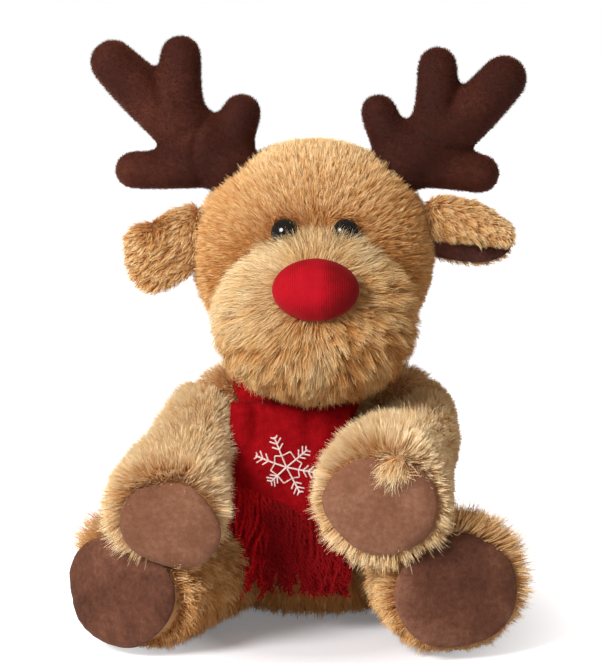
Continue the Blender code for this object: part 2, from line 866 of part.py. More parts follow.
def make_antler(side, name, velour, filling):
    root = antler_root(side)
    tines = antler_left_shares if side < 0 else antler_right_shares

    def antler_form(label, grow, sides):
        made = None
        for tine in tines:
            points = [root + Vector((side * out, 0, up)) * antler_reach for out, up, thick in tine]
            sizes = [thick * antler_reach for out, up, thick in tine]
            part = limb(label, points, sizes, grow, sides, False, Vector((0, 1, 0)), 1)
            made = join(made, part) if made else part
        return join(made, ball("root", root, antler_root_radius + grow, small_sides))

    head_room = swing_gap
    outside = cut(antler_form("antler_%s_cover" % name, 0, tine_sides), head_room_shape(side, head_room))
    cover = cut(outside, antler_form("hollow", -velour_thickness, tine_sides))
    inward = (head_middle - root).normalized()
    cut(cover, rod("mouth", root, root + inward * (antler_root_radius + overrun), antler_mouth_radius))
    core = cut(antler_form("antler_%s_stuffing" % name, -velour_thickness - stuffing_gap, tine_sides),
               head_room_shape(side, head_room + velour_thickness + stuffing_gap))
    return finish(cover, velour), finish(core, filling)


def head_room_shape(side, grow):
    """The head, without the hollow where this antler's root turns."""
    room = head_form("head_room", grow)
    return cut(room, ball("root_room", antler_root(side), antler_root_radius + swing_gap, small_sides + 4))


def ear_section(row, side, inset, thickness):
    """One closed section of a folded layer: out over the fold, and back along its inner side."""
    along, fold_share, rise_share, front_share, back_share = row
    radius = ear_fold_radius * fold_share - inset
    root = ear_root(side)
    top = root.z + ear_drop * rise_share
    x = root.x + side * ear_length * along

    def strip(size):
        points = [(-size, top - radius_full - ear_drop * front_share)]
        for degrees in ear_fold_degrees:
            turn = math.radians(degrees)
            points.append((size * math.cos(turn), top - radius_full + size * math.sin(turn)))
        points.append((size, top - radius_full - ear_drop * back_share))
        return points

    radius_full = ear_fold_radius * fold_share
    outer = strip(radius)
    inner = strip(radius - thickness)
    return [Vector((x, root.y + y, z)) for y, z in outer + inner[::-1]]


def ear_layer(name, side, shares, inset, thickness):
    return skin(name, [ear_section(row, side, inset, thickness) for row in shares])


def make_ear(side, name, plush, velour):
    """An ear folded over along its length: plush outside, lining inside, with a round root."""
    shares = ear_left_shares if side < 0 else ear_right_shares
    root = ear_root(side)
    made = []
    back_thickness = ear_fold_radius * min(row[1] for row in shares) / 2
    layers = (("ear_%s_back" % name, 0, back_thickness, plush),
              ("ear_%s_lining" % name, back_thickness + sewn_gap, lining_thickness / 2, velour))
    for label, inset, thickness, look in layers:
        layer = ear_layer(label, side, shares, inset, thickness)
        block = bmesh.new()
        bmesh.ops.create_cube(block, size=1)
        span = 2 * (ear_length + ear_drop)
        bmesh.ops.scale(block, vec=(span, span, span), verts=block.verts)
        bmesh.ops.translate(block, vec=root - Vector((side * span / 2, 0, 0)), verts=block.verts)
        reach = Vector((0, span, 0))
        beyond = cut(object_from_bmesh("beyond", block),
                     rod("keep", root - reach, root + reach, ear_root_radius, ball_sides))
        made.append(finish(cut(layer, beyond), look, 40))
    return made


def make_tail(plush, filling):
    root = tail_root()
    thickness = [tail_root_radius * share for share in tail_thickness_shares]
    points = [root + Vector((0, tail_length, tail_length)) * share for share in tail_place_shares]
    outside = cut(limb("tail_cover", points, thickness, 0, tail_sides, False, Vector((1, 0, 0))),
                  body_room(tail_swing_room))
    join(outside, ball("root", root, tail_root_radius, tail_sides))
    inner = tail_root_radius - plush_thickness * tail_wall_share
    wall = plush_thickness * tail_wall_share
    cover = cut(outside, limb("hollow", points, thickness, -wall, tail_sides, False,
                              Vector((1, 0, 0)), 1))
    cut(cover, rod("mouth", root, root - Vector((0, tail_root_radius + overrun, 0)), inner / 2))
    core = cut(limb("tail_stuffing", points, thickness, -wall - stuffing_gap, tail_sides,
                    False, Vector((1, 0, 0)), 1), body_room(tail_swing_room + stuffing_gap))
    return finish(cover, plush), finish(core, filling)


def make_scarf_loop(cloth):
    """The scarf's loop round the neck: upright at the front, leaning on the neck behind."""
    rings = []
    for index in range(loop_stations):
        turn = 2 * math.pi * index / loop_stations
        ahead = (1 + math.cos(turn)) / 2
        front = ahead ** loop_front_sharpness
        rear = (1 - ahead) ** 2
        radius = loop_side_radius + (loop_front_radius - loop_side_radius) * front
        radius += (loop_back_radius - loop_side_radius) * rear
        height = loop_side_height + (loop_front_height - loop_side_height) * front
        height += (loop_back_height - loop_side_height) * rear
        half_width = loop_roll_half_width + (loop_front_half_width - loop_roll_half_width) * front
        half_thickness = loop_roll_half_thickness
        half_thickness += (loop_front_half_thickness - loop_roll_half_thickness) * front
        lean = math.radians(loop_lean_degrees) * (1 - front)
        outward = Vector((math.sin(turn), -math.cos(turn), 0))
        wide = outward * math.sin(lean) - Vector((0, 0, 1)) * math.cos(lean)
        thick = outward * math.cos(lean) + Vector((0, 0, 1)) * math.sin(lean)
        centre = outward * radius + Vector((0, 0, height))
        rings.append(ellipse(centre, wide, thick, half_width, half_thickness, loop_sides))
    shape = bmesh.new()
    rows = [[shape.verts.new(point) for point in ring] for ring in rings]
    for index, row in enumerate(rows):
        beside = rows[(index + 1) % loop_stations]
        for point in range(loop_sides):
            after = (point + 1) % loop_sides
            shape.faces.new((row[point], row[after], beside[after], beside[point]))
    return finish(object_from_bmesh("scarf_loop", shape), cloth)


def hang_point(across, drop, layer):
    """A point of the hanging cloth: across the belly, down from the neck, and which layer."""
    down = drop / tail_hang_height
    curl = tail_side_curl * (across / top_tail_left) ** 2
    forward = tail_hang_forward + tail_lean * down ** tail_lean_power - curl + layer
    return Vector((across, -forward, tail_hang_height - drop))


def cell_sheet(name, columns, rows, filled, place):
    """A sheet of cells, front and back, closed all round; only the filled cells are made."""
    shape = bmesh.new()
    points = {}

    def corner(column, row, face):
        key = (column, row, face)
        if key not in points:
            points[key] = shape.verts.new(place(column, row, face))
        return points[key]

    cells = {(c, r) for c in range(columns) for r in range(rows) if filled(c, r)}
    for column, row in cells:
        square = [(column, row), (column + 1, row), (column + 1, row + 1), (column, row + 1)]
        shape.faces.new([corner(*spot, 1) for spot in square])
        shape.faces.new([corner(*spot, 0) for spot in reversed(square)])
        beside = [(column, row - 1), (column + 1, row), (column, row + 1), (column - 1, row)]
        for index, other in enumerate(beside):
            if other not in cells:
                first, second = square[index], square[(index + 1) % 4]
                edge = (corner(*first, 0), corner(*second, 0), corner(*second, 1), corner(*first, 1))
                shape.faces.new(edge)
    return object_from_bmesh(name, shape)


def make_scarf_tail(name, left, right, left_drop, right_drop, layer, cloth):
    def place(column, row, face):
        across = -left + (left + right) * column / tail_columns
        length = left_drop + (right_drop - left_drop) * column / tail_columns
        return hang_point(across, length * row / tail_rows, layer + face * scarf_thickness)

    return finish(cell_sheet(name, tail_columns, tail_rows, lambda column, row: True, place), cloth, 40)


def make_fringe(name, left, right, left_drop, right_drop, layer, left_share, cloth):
    """Strands that hang from a narrow hem sewn to the end of a scarf tail."""
    pitch = fringe_strand_width + fringe_strand_gap
    strands = max(2, int((left + right + fringe_strand_gap) / pitch))
    pitch_fitted = (left + right + fringe_strand_gap) / strands
    thickness = scarf_thickness * fringe_thickness_share

    def place(column, row, face):
        strand, edge = divmod(column, 2)
        across = -left + strand * pitch_fitted + edge * (pitch_fitted - fringe_strand_gap)
        share = (across + left) / (left + right)
        start = left_drop + (right_drop - left_drop) * share + sewn_gap
        length = fringe_length * (left_share + (1 - left_share) * min(1, 2 * share))
        drop = start + hem_height * min(row, 1) + (length - hem_height) * max(row - 1, 0) / (fringe_rows - 1)
        return hang_point(across, drop, layer + face * thickness)

    def filled(column, row):
        return row == 0 or column % 2 == 0

    made = cell_sheet(name, 2 * strands - 1, fringe_rows, filled, place)
    return finish(made, cloth, 40)


def thread_bar(points, width, low, high, closed=False):
    """A flat thread through points of the flower's plane, between two levels."""
    shape = bmesh.new()
    rows = []
    count = len(points)
    for index, point in enumerate(points):
        before = points[index - 1] if closed else points[max(index - 1, 0)]
        after = points[(index + 1) % count] if closed else points[min(index + 1, count - 1)]
        lines = [line.normalized() for line in (point - before, after - point) if line.length > 0]
        along = sum(lines, Vector((0, 0))).normalized()
        spread = width / 2 / max(along.dot(lines[0]), snowflake_least_mitre)
        side = Vector((-along.y, along.x)) * spread
        corners = [(point + side, high), (point - side, high), (point - side, low), (point + side, low)]
        rows.append([shape.verts.new((spot.x, spot.y, level)) for spot, level in corners])
    pairs = list(zip(rows, rows[1:]))
    if closed:
        pairs.append((rows[-1], rows[0]))
    for first, second in pairs:
        for index in range(4):
            after = (index + 1) % 4
            shape.faces.new((first[index], first[after], second[after], second[index]))
    if not closed:
        shape.faces.new(rows[0])
        shape.faces.new(rows[-1])
    return object_from_bmesh("thread_bar", shape)


def make_snowflake(layer, thread):
    """Three stitched bars with branches, and a small star round the middle, laid on the tail."""
    def polar(share, degrees):
        turn = math.radians(degrees + snowflake_tilt_degrees)
        return Vector((math.cos(turn), math.sin(turn))) * snowflake_radius * share

    inner_share, waist_share = snowflake_star_shares
    star = []
    for arm in range(6):
        star += [polar(inner_share, 60 * arm), polar(waist_share, 60 * arm + 30)]
    low, high = (thread_thickness * share for share in snowflake_star_level_shares)
    made = thread_bar(star, snowflake_thread, low, high, True)
    for arm in range(3):
        bar = [polar(share, 60 * arm) for share in snowflake_bar_shares]
        step = thread_thickness * snowflake_bar_step_share * arm
        join(made, thread_bar(bar, snowflake_thread, step, thread_thickness - step))
    low, high = (thread_thickness * share for share in snowflake_branch_level_shares)
    for arm in range(6):
        for root_share, length_share in snowflake_branch_shares:
            foot = polar(root_share, 60 * arm)
            tips = [foot + polar(length_share, 60 * arm + turn)
                    for turn in (-snowflake_branch_degrees, snowflake_branch_degrees)]
            join(made, thread_bar([tips[0], foot, tips[1]], snowflake_thread, low, high))
    made.name = "snowflake"
    for vertex in made.data.vertices:
        across = vertex.co.x - snowflake_across
        drop = snowflake_drop - vertex.co.y
        vertex.co = hang_point(across, drop, layer + sewn_gap + vertex.co.z)
    return finish(made, thread, 30)


def build():
    clear_scene()
    plush = material("plush", (0.66, 0.42, 0.19), 0.95)
    long_plush = material("long_plush", (0.70, 0.46, 0.22), 0.95)
    velour = material("antler_velour", (0.10, 0.035, 0.02), 0.85)
    lining = material("ear_lining", (0.082, 0.03, 0.022), 0.85)
    pad_velour = material("pad_velour", (0.30, 0.14, 0.085), 0.85)
    red_cloth = material("red_cloth", (0.40, 0.008, 0.02), 0.8)
    nose_cloth = material("nose_cloth", (0.50, 0.01, 0.025), 0.75)
    white_thread = material("white_thread", (0.80, 0.62, 0.60), 0.6)
    tan_thread = material("tan_thread", (0.35, 0.19, 0.09), 0.7)
    black_plastic = material("black_plastic", (0.008, 0.007, 0.007), 0.08)
    clear_plastic = material("white_plastic", (0.75, 0.75, 0.73), 0.45)
    filling = material("filling", (0.85, 0.85, 0.83), 1.0)
    beads = material("bead_cloth", (0.70, 0.68, 0.64), 0.9)

    make_body(plush, filling, beads, tan_thread)
    make_scarf_loop(red_cloth)

    neck_joint = joint("neck_turn_joint", neck)
    nod_joint = joint("neck_nod_joint", neck, neck_joint)
    carry(neck_joint, make_neck_seam(tan_thread))
    carry(nod_joint, *make_head(plush, filling), *make_muzzle(long_plush, filling),
          *make_nose(nose_cloth, filling))
    for side, name in ((-1, "left"), (1, "right")):
        carry(nod_joint, *make_eye(side, name, black_plastic, clear_plastic))
        antler_joint = joint("antler_%s_joint" % name, antler_root(side), nod_joint)
        carry(antler_joint, *make_antler(side, name, velour, filling))
        ear_joint = joint("ear_%s_joint" % name, ear_root(side), nod_joint)
        carry(ear_joint, *make_ear(side, name, plush, lining))
        shoulder_joint = joint("shoulder_%s_joint" % name, shoulder(side))
        carry(shoulder_joint, *make_arm(side, name, plush, pad_velour, filling))
        hip_joint = joint("hip_%s_joint" % name, hip(side))
        carry(hip_joint, *make_leg(side, name, plush, pad_velour, filling))
    carry(joint("tail_joint", tail_root()), *make_tail(plush, filling))

    scarf_joint = joint("scarf_tails_joint", Vector((0, -tail_hang_forward, tail_hang_height)))
    top_layer = scarf_thickness + tail_layer_gap
    top_sizes = (top_tail_left, top_tail_right, top_tail_left_drop, top_tail_right_drop, top_layer)
    under_sizes = (under_tail_left, under_tail_right, under_tail_left_drop, under_tail_right_drop, 0)
    carry(scarf_joint,
          make_scarf_tail("scarf_top_tail", *top_sizes, red_cloth),
          make_scarf_tail("scarf_under_tail", *under_sizes, red_cloth),
          make_fringe("scarf_top_fringe", *top_sizes, fringe_short_share, red_cloth),
          make_fringe("scarf_under_fringe", *under_sizes, 1, red_cloth),
          make_snowflake(top_layer + scarf_thickness, white_thread))


build()
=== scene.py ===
"""A seated plush deer with a red nose, velour antlers and a fringed red scarf, dressed over its solids.

Metres, +Z up, the deer faces -Y. Each cover is a stuffed skin with its pile of fibres, grown by one
Geometry Nodes tree; the scarf, its fringe and its stitched snowflake are cloth and thread.
"""
import math

import bmesh
import bpy
import numpy as np
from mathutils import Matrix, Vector, noise
from mathutils.bvhtree import BVHTree


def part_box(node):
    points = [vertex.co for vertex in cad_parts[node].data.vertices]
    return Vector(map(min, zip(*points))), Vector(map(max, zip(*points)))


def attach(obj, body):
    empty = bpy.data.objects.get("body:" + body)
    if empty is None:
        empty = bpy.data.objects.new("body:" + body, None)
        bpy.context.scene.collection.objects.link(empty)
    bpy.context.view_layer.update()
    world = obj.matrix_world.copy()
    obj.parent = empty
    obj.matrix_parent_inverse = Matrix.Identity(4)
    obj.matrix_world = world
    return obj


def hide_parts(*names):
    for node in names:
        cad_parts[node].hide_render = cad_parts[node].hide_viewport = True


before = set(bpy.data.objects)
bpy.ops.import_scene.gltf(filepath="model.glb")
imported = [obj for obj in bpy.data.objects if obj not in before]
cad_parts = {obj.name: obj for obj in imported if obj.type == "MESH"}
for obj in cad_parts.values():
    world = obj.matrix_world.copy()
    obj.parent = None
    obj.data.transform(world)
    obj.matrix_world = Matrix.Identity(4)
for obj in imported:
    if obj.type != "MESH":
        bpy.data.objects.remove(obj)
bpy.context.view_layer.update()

# Sizes shared with the solids, in metres
neck = Vector((0, 0, 0.105))
neck_ball_radius = 0.040
body_half_width = 0.061
body_half_depth = 0.0545
body_back_shift = 0.004
body_shares = (
    (0.00, 0.74, 0.74, 1.0),
    (0.06, 0.88, 0.89, 1.0),
    (0.20, 0.97, 0.98, 1.0),
    (0.38, 1.00, 1.00, 1.0),
    (0.58, 0.97, 0.98, 0.9),
    (0.77, 0.88, 0.90, 0.5),
    (0.92, 0.76, 0.80, 0.1),
)
head_middle = Vector((0, 0, 0.1895))
head_half_sizes = Vector((0.0645, 0.062, 0.0615))
muzzle_middle = Vector((0, -0.056, 0.1615))
muzzle_half_sizes = Vector((0.053, 0.046, 0.044))
nose_half_sizes = Vector((0.0215, 0.0125, 0.0155))
nose_rise = 0.0205
eye_spacing = 0.0318
eye_rise = 0.0195
eye_radius = 0.007
eye_depth = 0.0052
eye_drop = 0.0022
eye_sink = 0.0014
eye_back = 0.0030
arm_length = 0.120
paw_radius = 0.034
arm_shares = {
    -1: ((0.000, 0.000, 0.000), (0.045, 0.250, -0.029), (0.090, 0.485, -0.095),
         (0.135, 0.715, -0.170), (0.155, 0.925, -0.222)),
    1: ((0.000, 0.000, 0.000), (0.006, 0.265, -0.057), (-0.078, 0.530, -0.112),
        (-0.149, 0.770, -0.145), (-0.170, 0.938, -0.163)),
}
arm_thickness_shares = {-1: (0.66, 0.65, 0.68, 0.82, 0.90), 1: (0.66, 0.68, 0.83, 1.02, 1.04)}
arm_root_radius = 0.0225
paw_pad_half_sizes = {-1: (0.0252, 0.0222), 1: (0.0280, 0.0245)}
leg_length = 0.070
leg_root_radius = 0.026
foot_radius = 0.0362
foot_flat_depth = 0.0005
leg_shares = (0.00, 0.34, 0.70, 1.00)
leg_thickness_shares = (0.72, 0.80, 0.93, 1.00)
leg_splay_degrees = {-1: 34, 1: 14}
sole_half_sizes = {-1: (0.0328, 0.0280), 1: (0.0315, 0.0286)}
# Across, up and tilt in degrees of each pad on the end of its limb
paw_pad_shifts = {-1: (0.0040, -0.0030, -24), 1: (-0.0016, -0.0004, -8)}
sole_shifts = {-1: (-0.0016, -0.0042, 0), 1: (0.0012, -0.0012, 0)}
pad_thickness = 0.0026
end_reach_share = 0.45
antler_reach = 0.060
antler_root_radius = 0.0165
antler_tines = {
    -1: (((0.00, 0.00, 0.255), (0.27, 0.21, 0.270), (0.54, 0.45, 0.245), (0.80, 0.68, 0.222),
          (1.00, 0.88, 0.200)),
         ((0.38, 0.36, 0.210), (0.42, 0.62, 0.195), (0.41, 0.94, 0.180)),
         ((0.02, 0.05, 0.215), (-0.05, 0.27, 0.195), (-0.12, 0.44, 0.172)),
         ((0.10, 0.00, 0.210), (0.48, -0.05, 0.178), (0.83, -0.06, 0.165))),
    1: (((0.00, 0.00, 0.255), (0.24, 0.19, 0.265), (0.46, 0.31, 0.235), (0.69, 0.52, 0.218),
         (0.89, 0.74, 0.205)),
        ((0.28, 0.24, 0.210), (0.31, 0.56, 0.190), (0.31, 0.85, 0.172)),
        ((0.00, 0.04, 0.195), (-0.12, 0.26, 0.175), (-0.20, 0.45, 0.160)),
        ((0.12, 0.00, 0.215), (0.40, -0.04, 0.190), (0.69, -0.09, 0.175))),
}
ear_length = 0.032
ear_fold_radius = 0.0085
ear_drop = 0.0255
ear_root_radius = 0.0165
ear_rows = {
    -1: ((-0.50, 0.80, 0.34, 0.82, 0.66), (-0.12, 0.95, 0.30, 1.04, 0.80), (0.22, 1.00, 0.12, 1.08, 0.78),
         (0.55, 0.95, -0.02, 1.03, 0.70), (0.82, 0.80, -0.12, 0.82, 0.54), (0.95, 0.66, -0.24, 0.52, 0.34),
         (1.00, 0.48, -0.38, 0.24, 0.16)),
    1: ((-0.50, 0.80, 0.44, 0.46, 0.82), (-0.12, 0.95, 0.48, 0.46, 0.92), (0.22, 1.00, 0.42, 0.40, 0.92),
        (0.55, 0.95, 0.27, 0.34, 0.80), (0.82, 0.80, 0.06, 0.26, 0.54), (0.95, 0.66, -0.06, 0.20, 0.32),
        (1.00, 0.48, -0.18, 0.12, 0.14)),
}
ear_reach = {-1: 0.88, 1: 1.04}
# Across and up, the lines where the velour is drawn in, and how deep and how wide
antler_creases = {
    -1: ((((-0.0546, 0.2652), (-0.0620, 0.2528), (-0.0637, 0.2405), (-0.0603, 0.2281)), 0.0017, 0.0024),
         (((-0.0840, 0.2844), (-0.0803, 0.2701)), 0.0016, 0.0026),
         (((-0.0860, 0.2467), (-0.0742, 0.2499), (-0.0632, 0.2553)), 0.0012, 0.0030)),
    1: ((((0.0468, 0.2639), (0.0529, 0.2528), (0.0664, 0.2454), (0.0859, 0.2459)), 0.0018, 0.0024),
        (((0.0750, 0.2812), (0.0713, 0.2677)), 0.0016, 0.0026)),
}
side_names = {-1: "left", 1: "right"}
loop_front_radius = 0.0530
loop_side_radius = 0.0388
loop_front_height = 0.1035
loop_side_height = 0.1300
loop_back_height = 0.1245
loop_front_half_width = 0.0140
loop_roll_half_width = 0.0046
loop_lean_degrees = 50
loop_front_sharpness = 5
scarf_cloth_thickness = 0.0016
loop_cloth_thickness = 0.0012
loop_layer_spacing = 0.00165
top_layer = 0.0041
under_layer = 0.0008
top_hems = (0.0785, 0.0525)
under_hems = (0.0500, 0.0450)
yarns_in_bunch = 3.4
yarn_twist_length = 0.0062
yarn_ply_radius = 0.00074
yarn_ply_offset = 0.00062
yarn_above_hem = 0.0018
yarn_lowest = 0.0035
tail_hang_forward = 0.0550
tail_hang_height = 0.1100
tail_roll_height = 0.1175
tail_lean = 0.0235
tail_lean_power = 1.4
tail_side_curl = 0.0060
tail_half_width = 0.0405
snowflake_middle = (-0.0146, 0.0866)
snowflake_tips = ((-0.0063, 0.0153), (0.0108, 0.0089), (0.0146, -0.0026), (0.0070, -0.0128),
                  (-0.0082, -0.0077),
                  (-0.0158, 0.0051))
snowflake_reach = 0.0150
star_reach = 0.0082
star_root_reach = 0.0062

# How deep the skins lie under the outside of the pile
pile_depth = 0.0045
muzzle_pile_depth = 0.0065
ear_pile_depth = 0.0012
tail_pile_depth = 0.003
arm_extra_depth = 0.0010
# What is left free between skins, round the neck and antlers, and over the ground
skin_gap = 0.0002
neck_room_gap = 0.0045
antler_room_gap = 0.0006
ground_gap = 0.0006
# How near a neighbour shortens the pile of a limb
limb_room = 0.009
body_room = 0.006
# How far the right leg's end lies outward and the right arm's middle inward of their solids
right_leg_outward = 0.0035
right_arm_inward = 0.0004


def shoulder(side):
    return Vector((side * 0.0550, -0.004, 0.1030))


def hip(side):
    return Vector((side * 0.047, -0.035, 0.031))


def antler_root(side):
    return head_middle + Vector((side * 0.0455, 0, 0.0475))


def ear_root(side):
    return head_middle + Vector((side * 0.0705, -0.006, 0.0175))


nose_middle = muzzle_middle + Vector((0, -muzzle_half_sizes.y
                                      * math.sqrt(1 - (nose_rise / muzzle_half_sizes.z) ** 2),
                                      nose_rise))


# Node trees, written as arithmetic

class Wire:
    """One output of a node: sums and products of wires add the nodes that work them out."""

    def __init__(self, net, socket):
        self.net = net
        self.socket = socket

    def __add__(self, other):
        return self.net.combine("ADD", self, other)

    def __radd__(self, other):
        return self.net.combine("ADD", other, self)

    def __sub__(self, other):
        return self.net.combine("SUBTRACT", self, other)

    def __rsub__(self, other):
        return self.net.combine("SUBTRACT", other, self)

    def __mul__(self, other):
        return self.net.combine("MULTIPLY", self, other)

    def __rmul__(self, other):
        return self.net.combine("MULTIPLY", other, self)


class Made:
    """A node whose outputs are taken by name."""

    def __init__(self, net, node):
        self.net = net
        self.node = node

    def __getitem__(self, name):
        return Wire(self.net, find_socket(self.node.outputs, name))


def find_socket(sockets, name):
    if isinstance(name, int):
        return sockets[name]
    for socket in sockets:
        if socket.identifier == name:
            return socket
    for socket in sockets:
        if socket.name == name and socket.enabled:
            return socket
    raise KeyError(name)


class Net:
    """A node tree to which nodes are added one call at a time."""

    def __init__(self, tree):
        self.tree = tree

    def node(self, kind, settings=None, **inputs):
        made = self.tree.nodes.new(kind)
        for name, value in (settings or {}).items():
            if name == "stops":
                ramp = made.color_ramp
                while len(ramp.elements) < len(value):
                    ramp.elements.new(0.5)
                for element, (place, colour) in zip(ramp.elements, value):
                    element.position = place
                    element.color = (*colour, 1) if len(colour) == 3 else colour
            else:
                setattr(made, name, value)
        for name, value in inputs.items():
            self.feed(find_socket(made.inputs, name.replace("__", " ")), value)
        return Made(self, made)

    def feed(self, socket, value):
        if isinstance(value, Made):
            value = value[0]
        if isinstance(value, Wire):
            self.tree.links.new(value.socket, socket)
        elif value is not None:
            socket.default_value = value

    def is_vector(self, value):
        if isinstance(value, Wire):
            return value.socket.type in {"VECTOR", "RGBA"}
        return isinstance(value, (tuple, Vector))

    def combine(self, operation, first, second):
        if self.is_vector(first) or self.is_vector(second):
            if operation == "MULTIPLY" and not (self.is_vector(first) and self.is_vector(second)):
                vector, scale = (first, second) if self.is_vector(first) else (second, first)
                return self.node("ShaderNodeVectorMath", {"operation": "SCALE"}, Vector=vector,
                                 Scale=scale)[0]
            made = self.node("ShaderNodeVectorMath", {"operation": operation})
        else:
            made = self.node("ShaderNodeMath", {"operation": operation})
        self.feed(made.node.inputs[0], first)
        self.feed(made.node.inputs[1], second)
        return made[0]

    def maths(self, operation, *values):
        made = self.node("ShaderNodeMath", {"operation": operation})
        for socket, value in zip(made.node.inputs, values):
            self.feed(socket, value)
        return made[0]

    def vector_maths(self, operation, *values, output=0):
        made = self.node("ShaderNodeVectorMath", {"operation": operation})
        for socket, value in zip(made.node.inputs, values):
            self.feed(socket, value)
        return made[output]

    def split(self, vector):
        return self.node("ShaderNodeSeparateXYZ", None, Vector=vector)

    def noise(self, place, scale, detail=2.0, roughness=0.5, output="Fac"):
        return self.node("ShaderNodeTexNoise", None, Vector=place, Scale=scale, Detail=detail,
                         Roughness=roughness)[output]

    def blend(self, share, first, second):
        return self.node("ShaderNodeMix", {"data_type": "RGBA"}, Factor_Float=share, A_Color=first,
                         B_Color=second)["Result_Color"]

    def ramp(self, value, *stops):
        return self.node("ShaderNodeValToRGB", {"stops": stops}, Fac=value)["Color"]

    def map_range(self, value, low, high, new_low=0.0, new_high=1.0):
        return self.node("ShaderNodeMapRange", None, Value=value, From__Min=low, From__Max=high,
                         To__Min=new_low, To__Max=new_high)[0]


def new_material(name, roughness=0.8, **constants):
    """A material with one Principled shader; constants are set on the shader's own sockets."""
    made = bpy.data.materials.new(name)
    made.use_nodes = True
    net = Net(made.node_tree)
    shader = made.node_tree.nodes["Principled BSDF"]
    shader.inputs["Roughness"].default_value = roughness
    for key, value in constants.items():
        shader.inputs[key.replace("__", " ")].default_value = value
    return made, net, shader


def colour(value):
    return (*value, 1.0)


def object_place(net):
    return net.node("ShaderNodeTexCoord")["Object"]


def bump(net, shader, height, strength, distance):
    made = net.node("ShaderNodeBump", None, Strength=strength, Distance=distance, Height=height)
    net.feed(shader.inputs["Normal"], made["Normal"])


def make_fibre_material(name, roots, tips, pale_tips, dark_tips, roughness=0.8, sheen=0.12):
    """Fibres: the pile's own map gives a fibre's tint across and the place along it; the darker roots are
    partly the fibres' own deeper ochre, partly painted shade deep in the pile.
    """
    made, net, shader = new_material(name, roughness, Sheen__Weight=sheen, Sheen__Roughness=0.5,
                                     Sheen__Tint=colour((1.0, 0.86, 0.66)), Specular__IOR__Level=0.25)
    split = net.split(net.node("ShaderNodeUVMap", {"uv_map": "OFBake"}))
    tint = split["X"]
    along = split["Y"]
    # The low end of the tint, dark_tips, is where painted shade from the rules takes the fibres, as do random
    # darker tufts.
    tip = net.ramp(tint, (0.0, dark_tips), (0.5, tips), (1.0, pale_tips))
    base = net.ramp(tint, (0.0, tuple(0.75 * part for part in roots)), (0.6, roots),
                    (1.0, tuple(0.5 * (a + b) for a, b in zip(roots, tips))))
    share = net.ramp(along, (0.0, (0, 0, 0)), (0.42, (0.45, 0.45, 0.45)), (0.85, (1, 1, 1)))
    net.feed(shader.inputs["Base Color"], net.blend(share, base, tip))
    return made


def make_skin_material(name, dark, light):
    """The knitted backing that the pile stands on."""
    made, net, shader = new_material(name, 0.95)
    place = object_place(net)
    grain = net.noise(place, 420.0, 3.0)
    patches = net.noise(place, 45.0, 2.0)
    net.feed(shader.inputs["Base Color"], net.blend(grain * 0.6 + patches * 0.4, colour(dark), colour(light)))
    bump(net, shader, grain, 0.6, 0.0006)
    return made


def make_velour(name, dark, middle, light, brush_scale=34.0, sheen=0.5, sheen_tint=(0.9, 0.6, 0.45)):
    """Short-nap velour: brushed patches, a fine speckle of fibre ends and a soft sheen."""
    made, net, shader = new_material(name, 0.85, Sheen__Weight=sheen, Sheen__Roughness=0.4,
                                     Sheen__Tint=colour(sheen_tint), Specular__IOR__Level=0.2)
    place = object_place(net)
    bent = place + (net.noise(place, 30.0, 2.0, output="Color") - (0.5, 0.5, 0.5)) * 0.02
    brushed = net.noise(bent, brush_scale, 3.0, 0.6)
    fibres = net.noise(place, 1500.0, 2.0, 0.7)
    fluff = net.noise(place, 380.0, 2.0, 0.6)
    share = net.map_range(brushed * 0.62 + fluff * 0.22 + fibres * 0.16, 0.36, 0.66)
    net.feed(shader.inputs["Base Color"], net.ramp(share, (0.0, dark), (0.5, middle), (1.0, light)))
    bump(net, shader, fibres * 0.5 + fluff * 0.5, 0.5, 0.0005)
    return made


def make_nap_material(name, dark, light):
    """The short fibres of velour that catch the light at its outline."""
    made, net, shader = new_material(name, 0.85, Specular__IOR__Level=0.1)
    split = net.split(net.node("ShaderNodeUVMap", {"uv_map": "OFBake"}))
    share = split["Y"] * 0.6 + split["X"] * 0.4
    net.feed(shader.inputs["Base Color"], net.ramp(share, (0.0, dark), (1.0, light)))
    return made


def make_scarf_material():
    """Brushed woven wool: crossing yarns under a haze of loose fibres."""
    made, net, shader = new_material("scarf_wool", 0.9, Sheen__Weight=0.12, Sheen__Roughness=0.45,
                                     Sheen__Tint=colour((1.0, 0.15, 0.15)), Specular__IOR__Level=0.08)
    place = object_place(net)
    split = net.split(place)
    pitch = 1800.0
    warp = net.maths("SINE", split["X"] * (2.0 * math.pi * pitch / 2.6))
    weft = net.maths("SINE", split["Z"] * (2.0 * math.pi * pitch / 3.0))
    weave = warp * weft * 0.5 + 0.5
    haze = net.noise(place, 260.0, 4.0, 0.7)
    patches = net.noise(place, 38.0, 2.0)
    share = net.map_range(haze * 0.5 + patches * 0.3 + weave * 0.2, 0.3, 0.7)
    net.feed(shader.inputs["Base Color"],
             net.ramp(share, (0.0, (0.13, 0.0003, 0.001)), (0.5, (0.26, 0.0012, 0.004)),
                                                   (1.0, (0.42, 0.006, 0.012))))
    bump(net, shader, weave * 0.35 + haze * 0.65, 0.55, 0.0007)
    return made


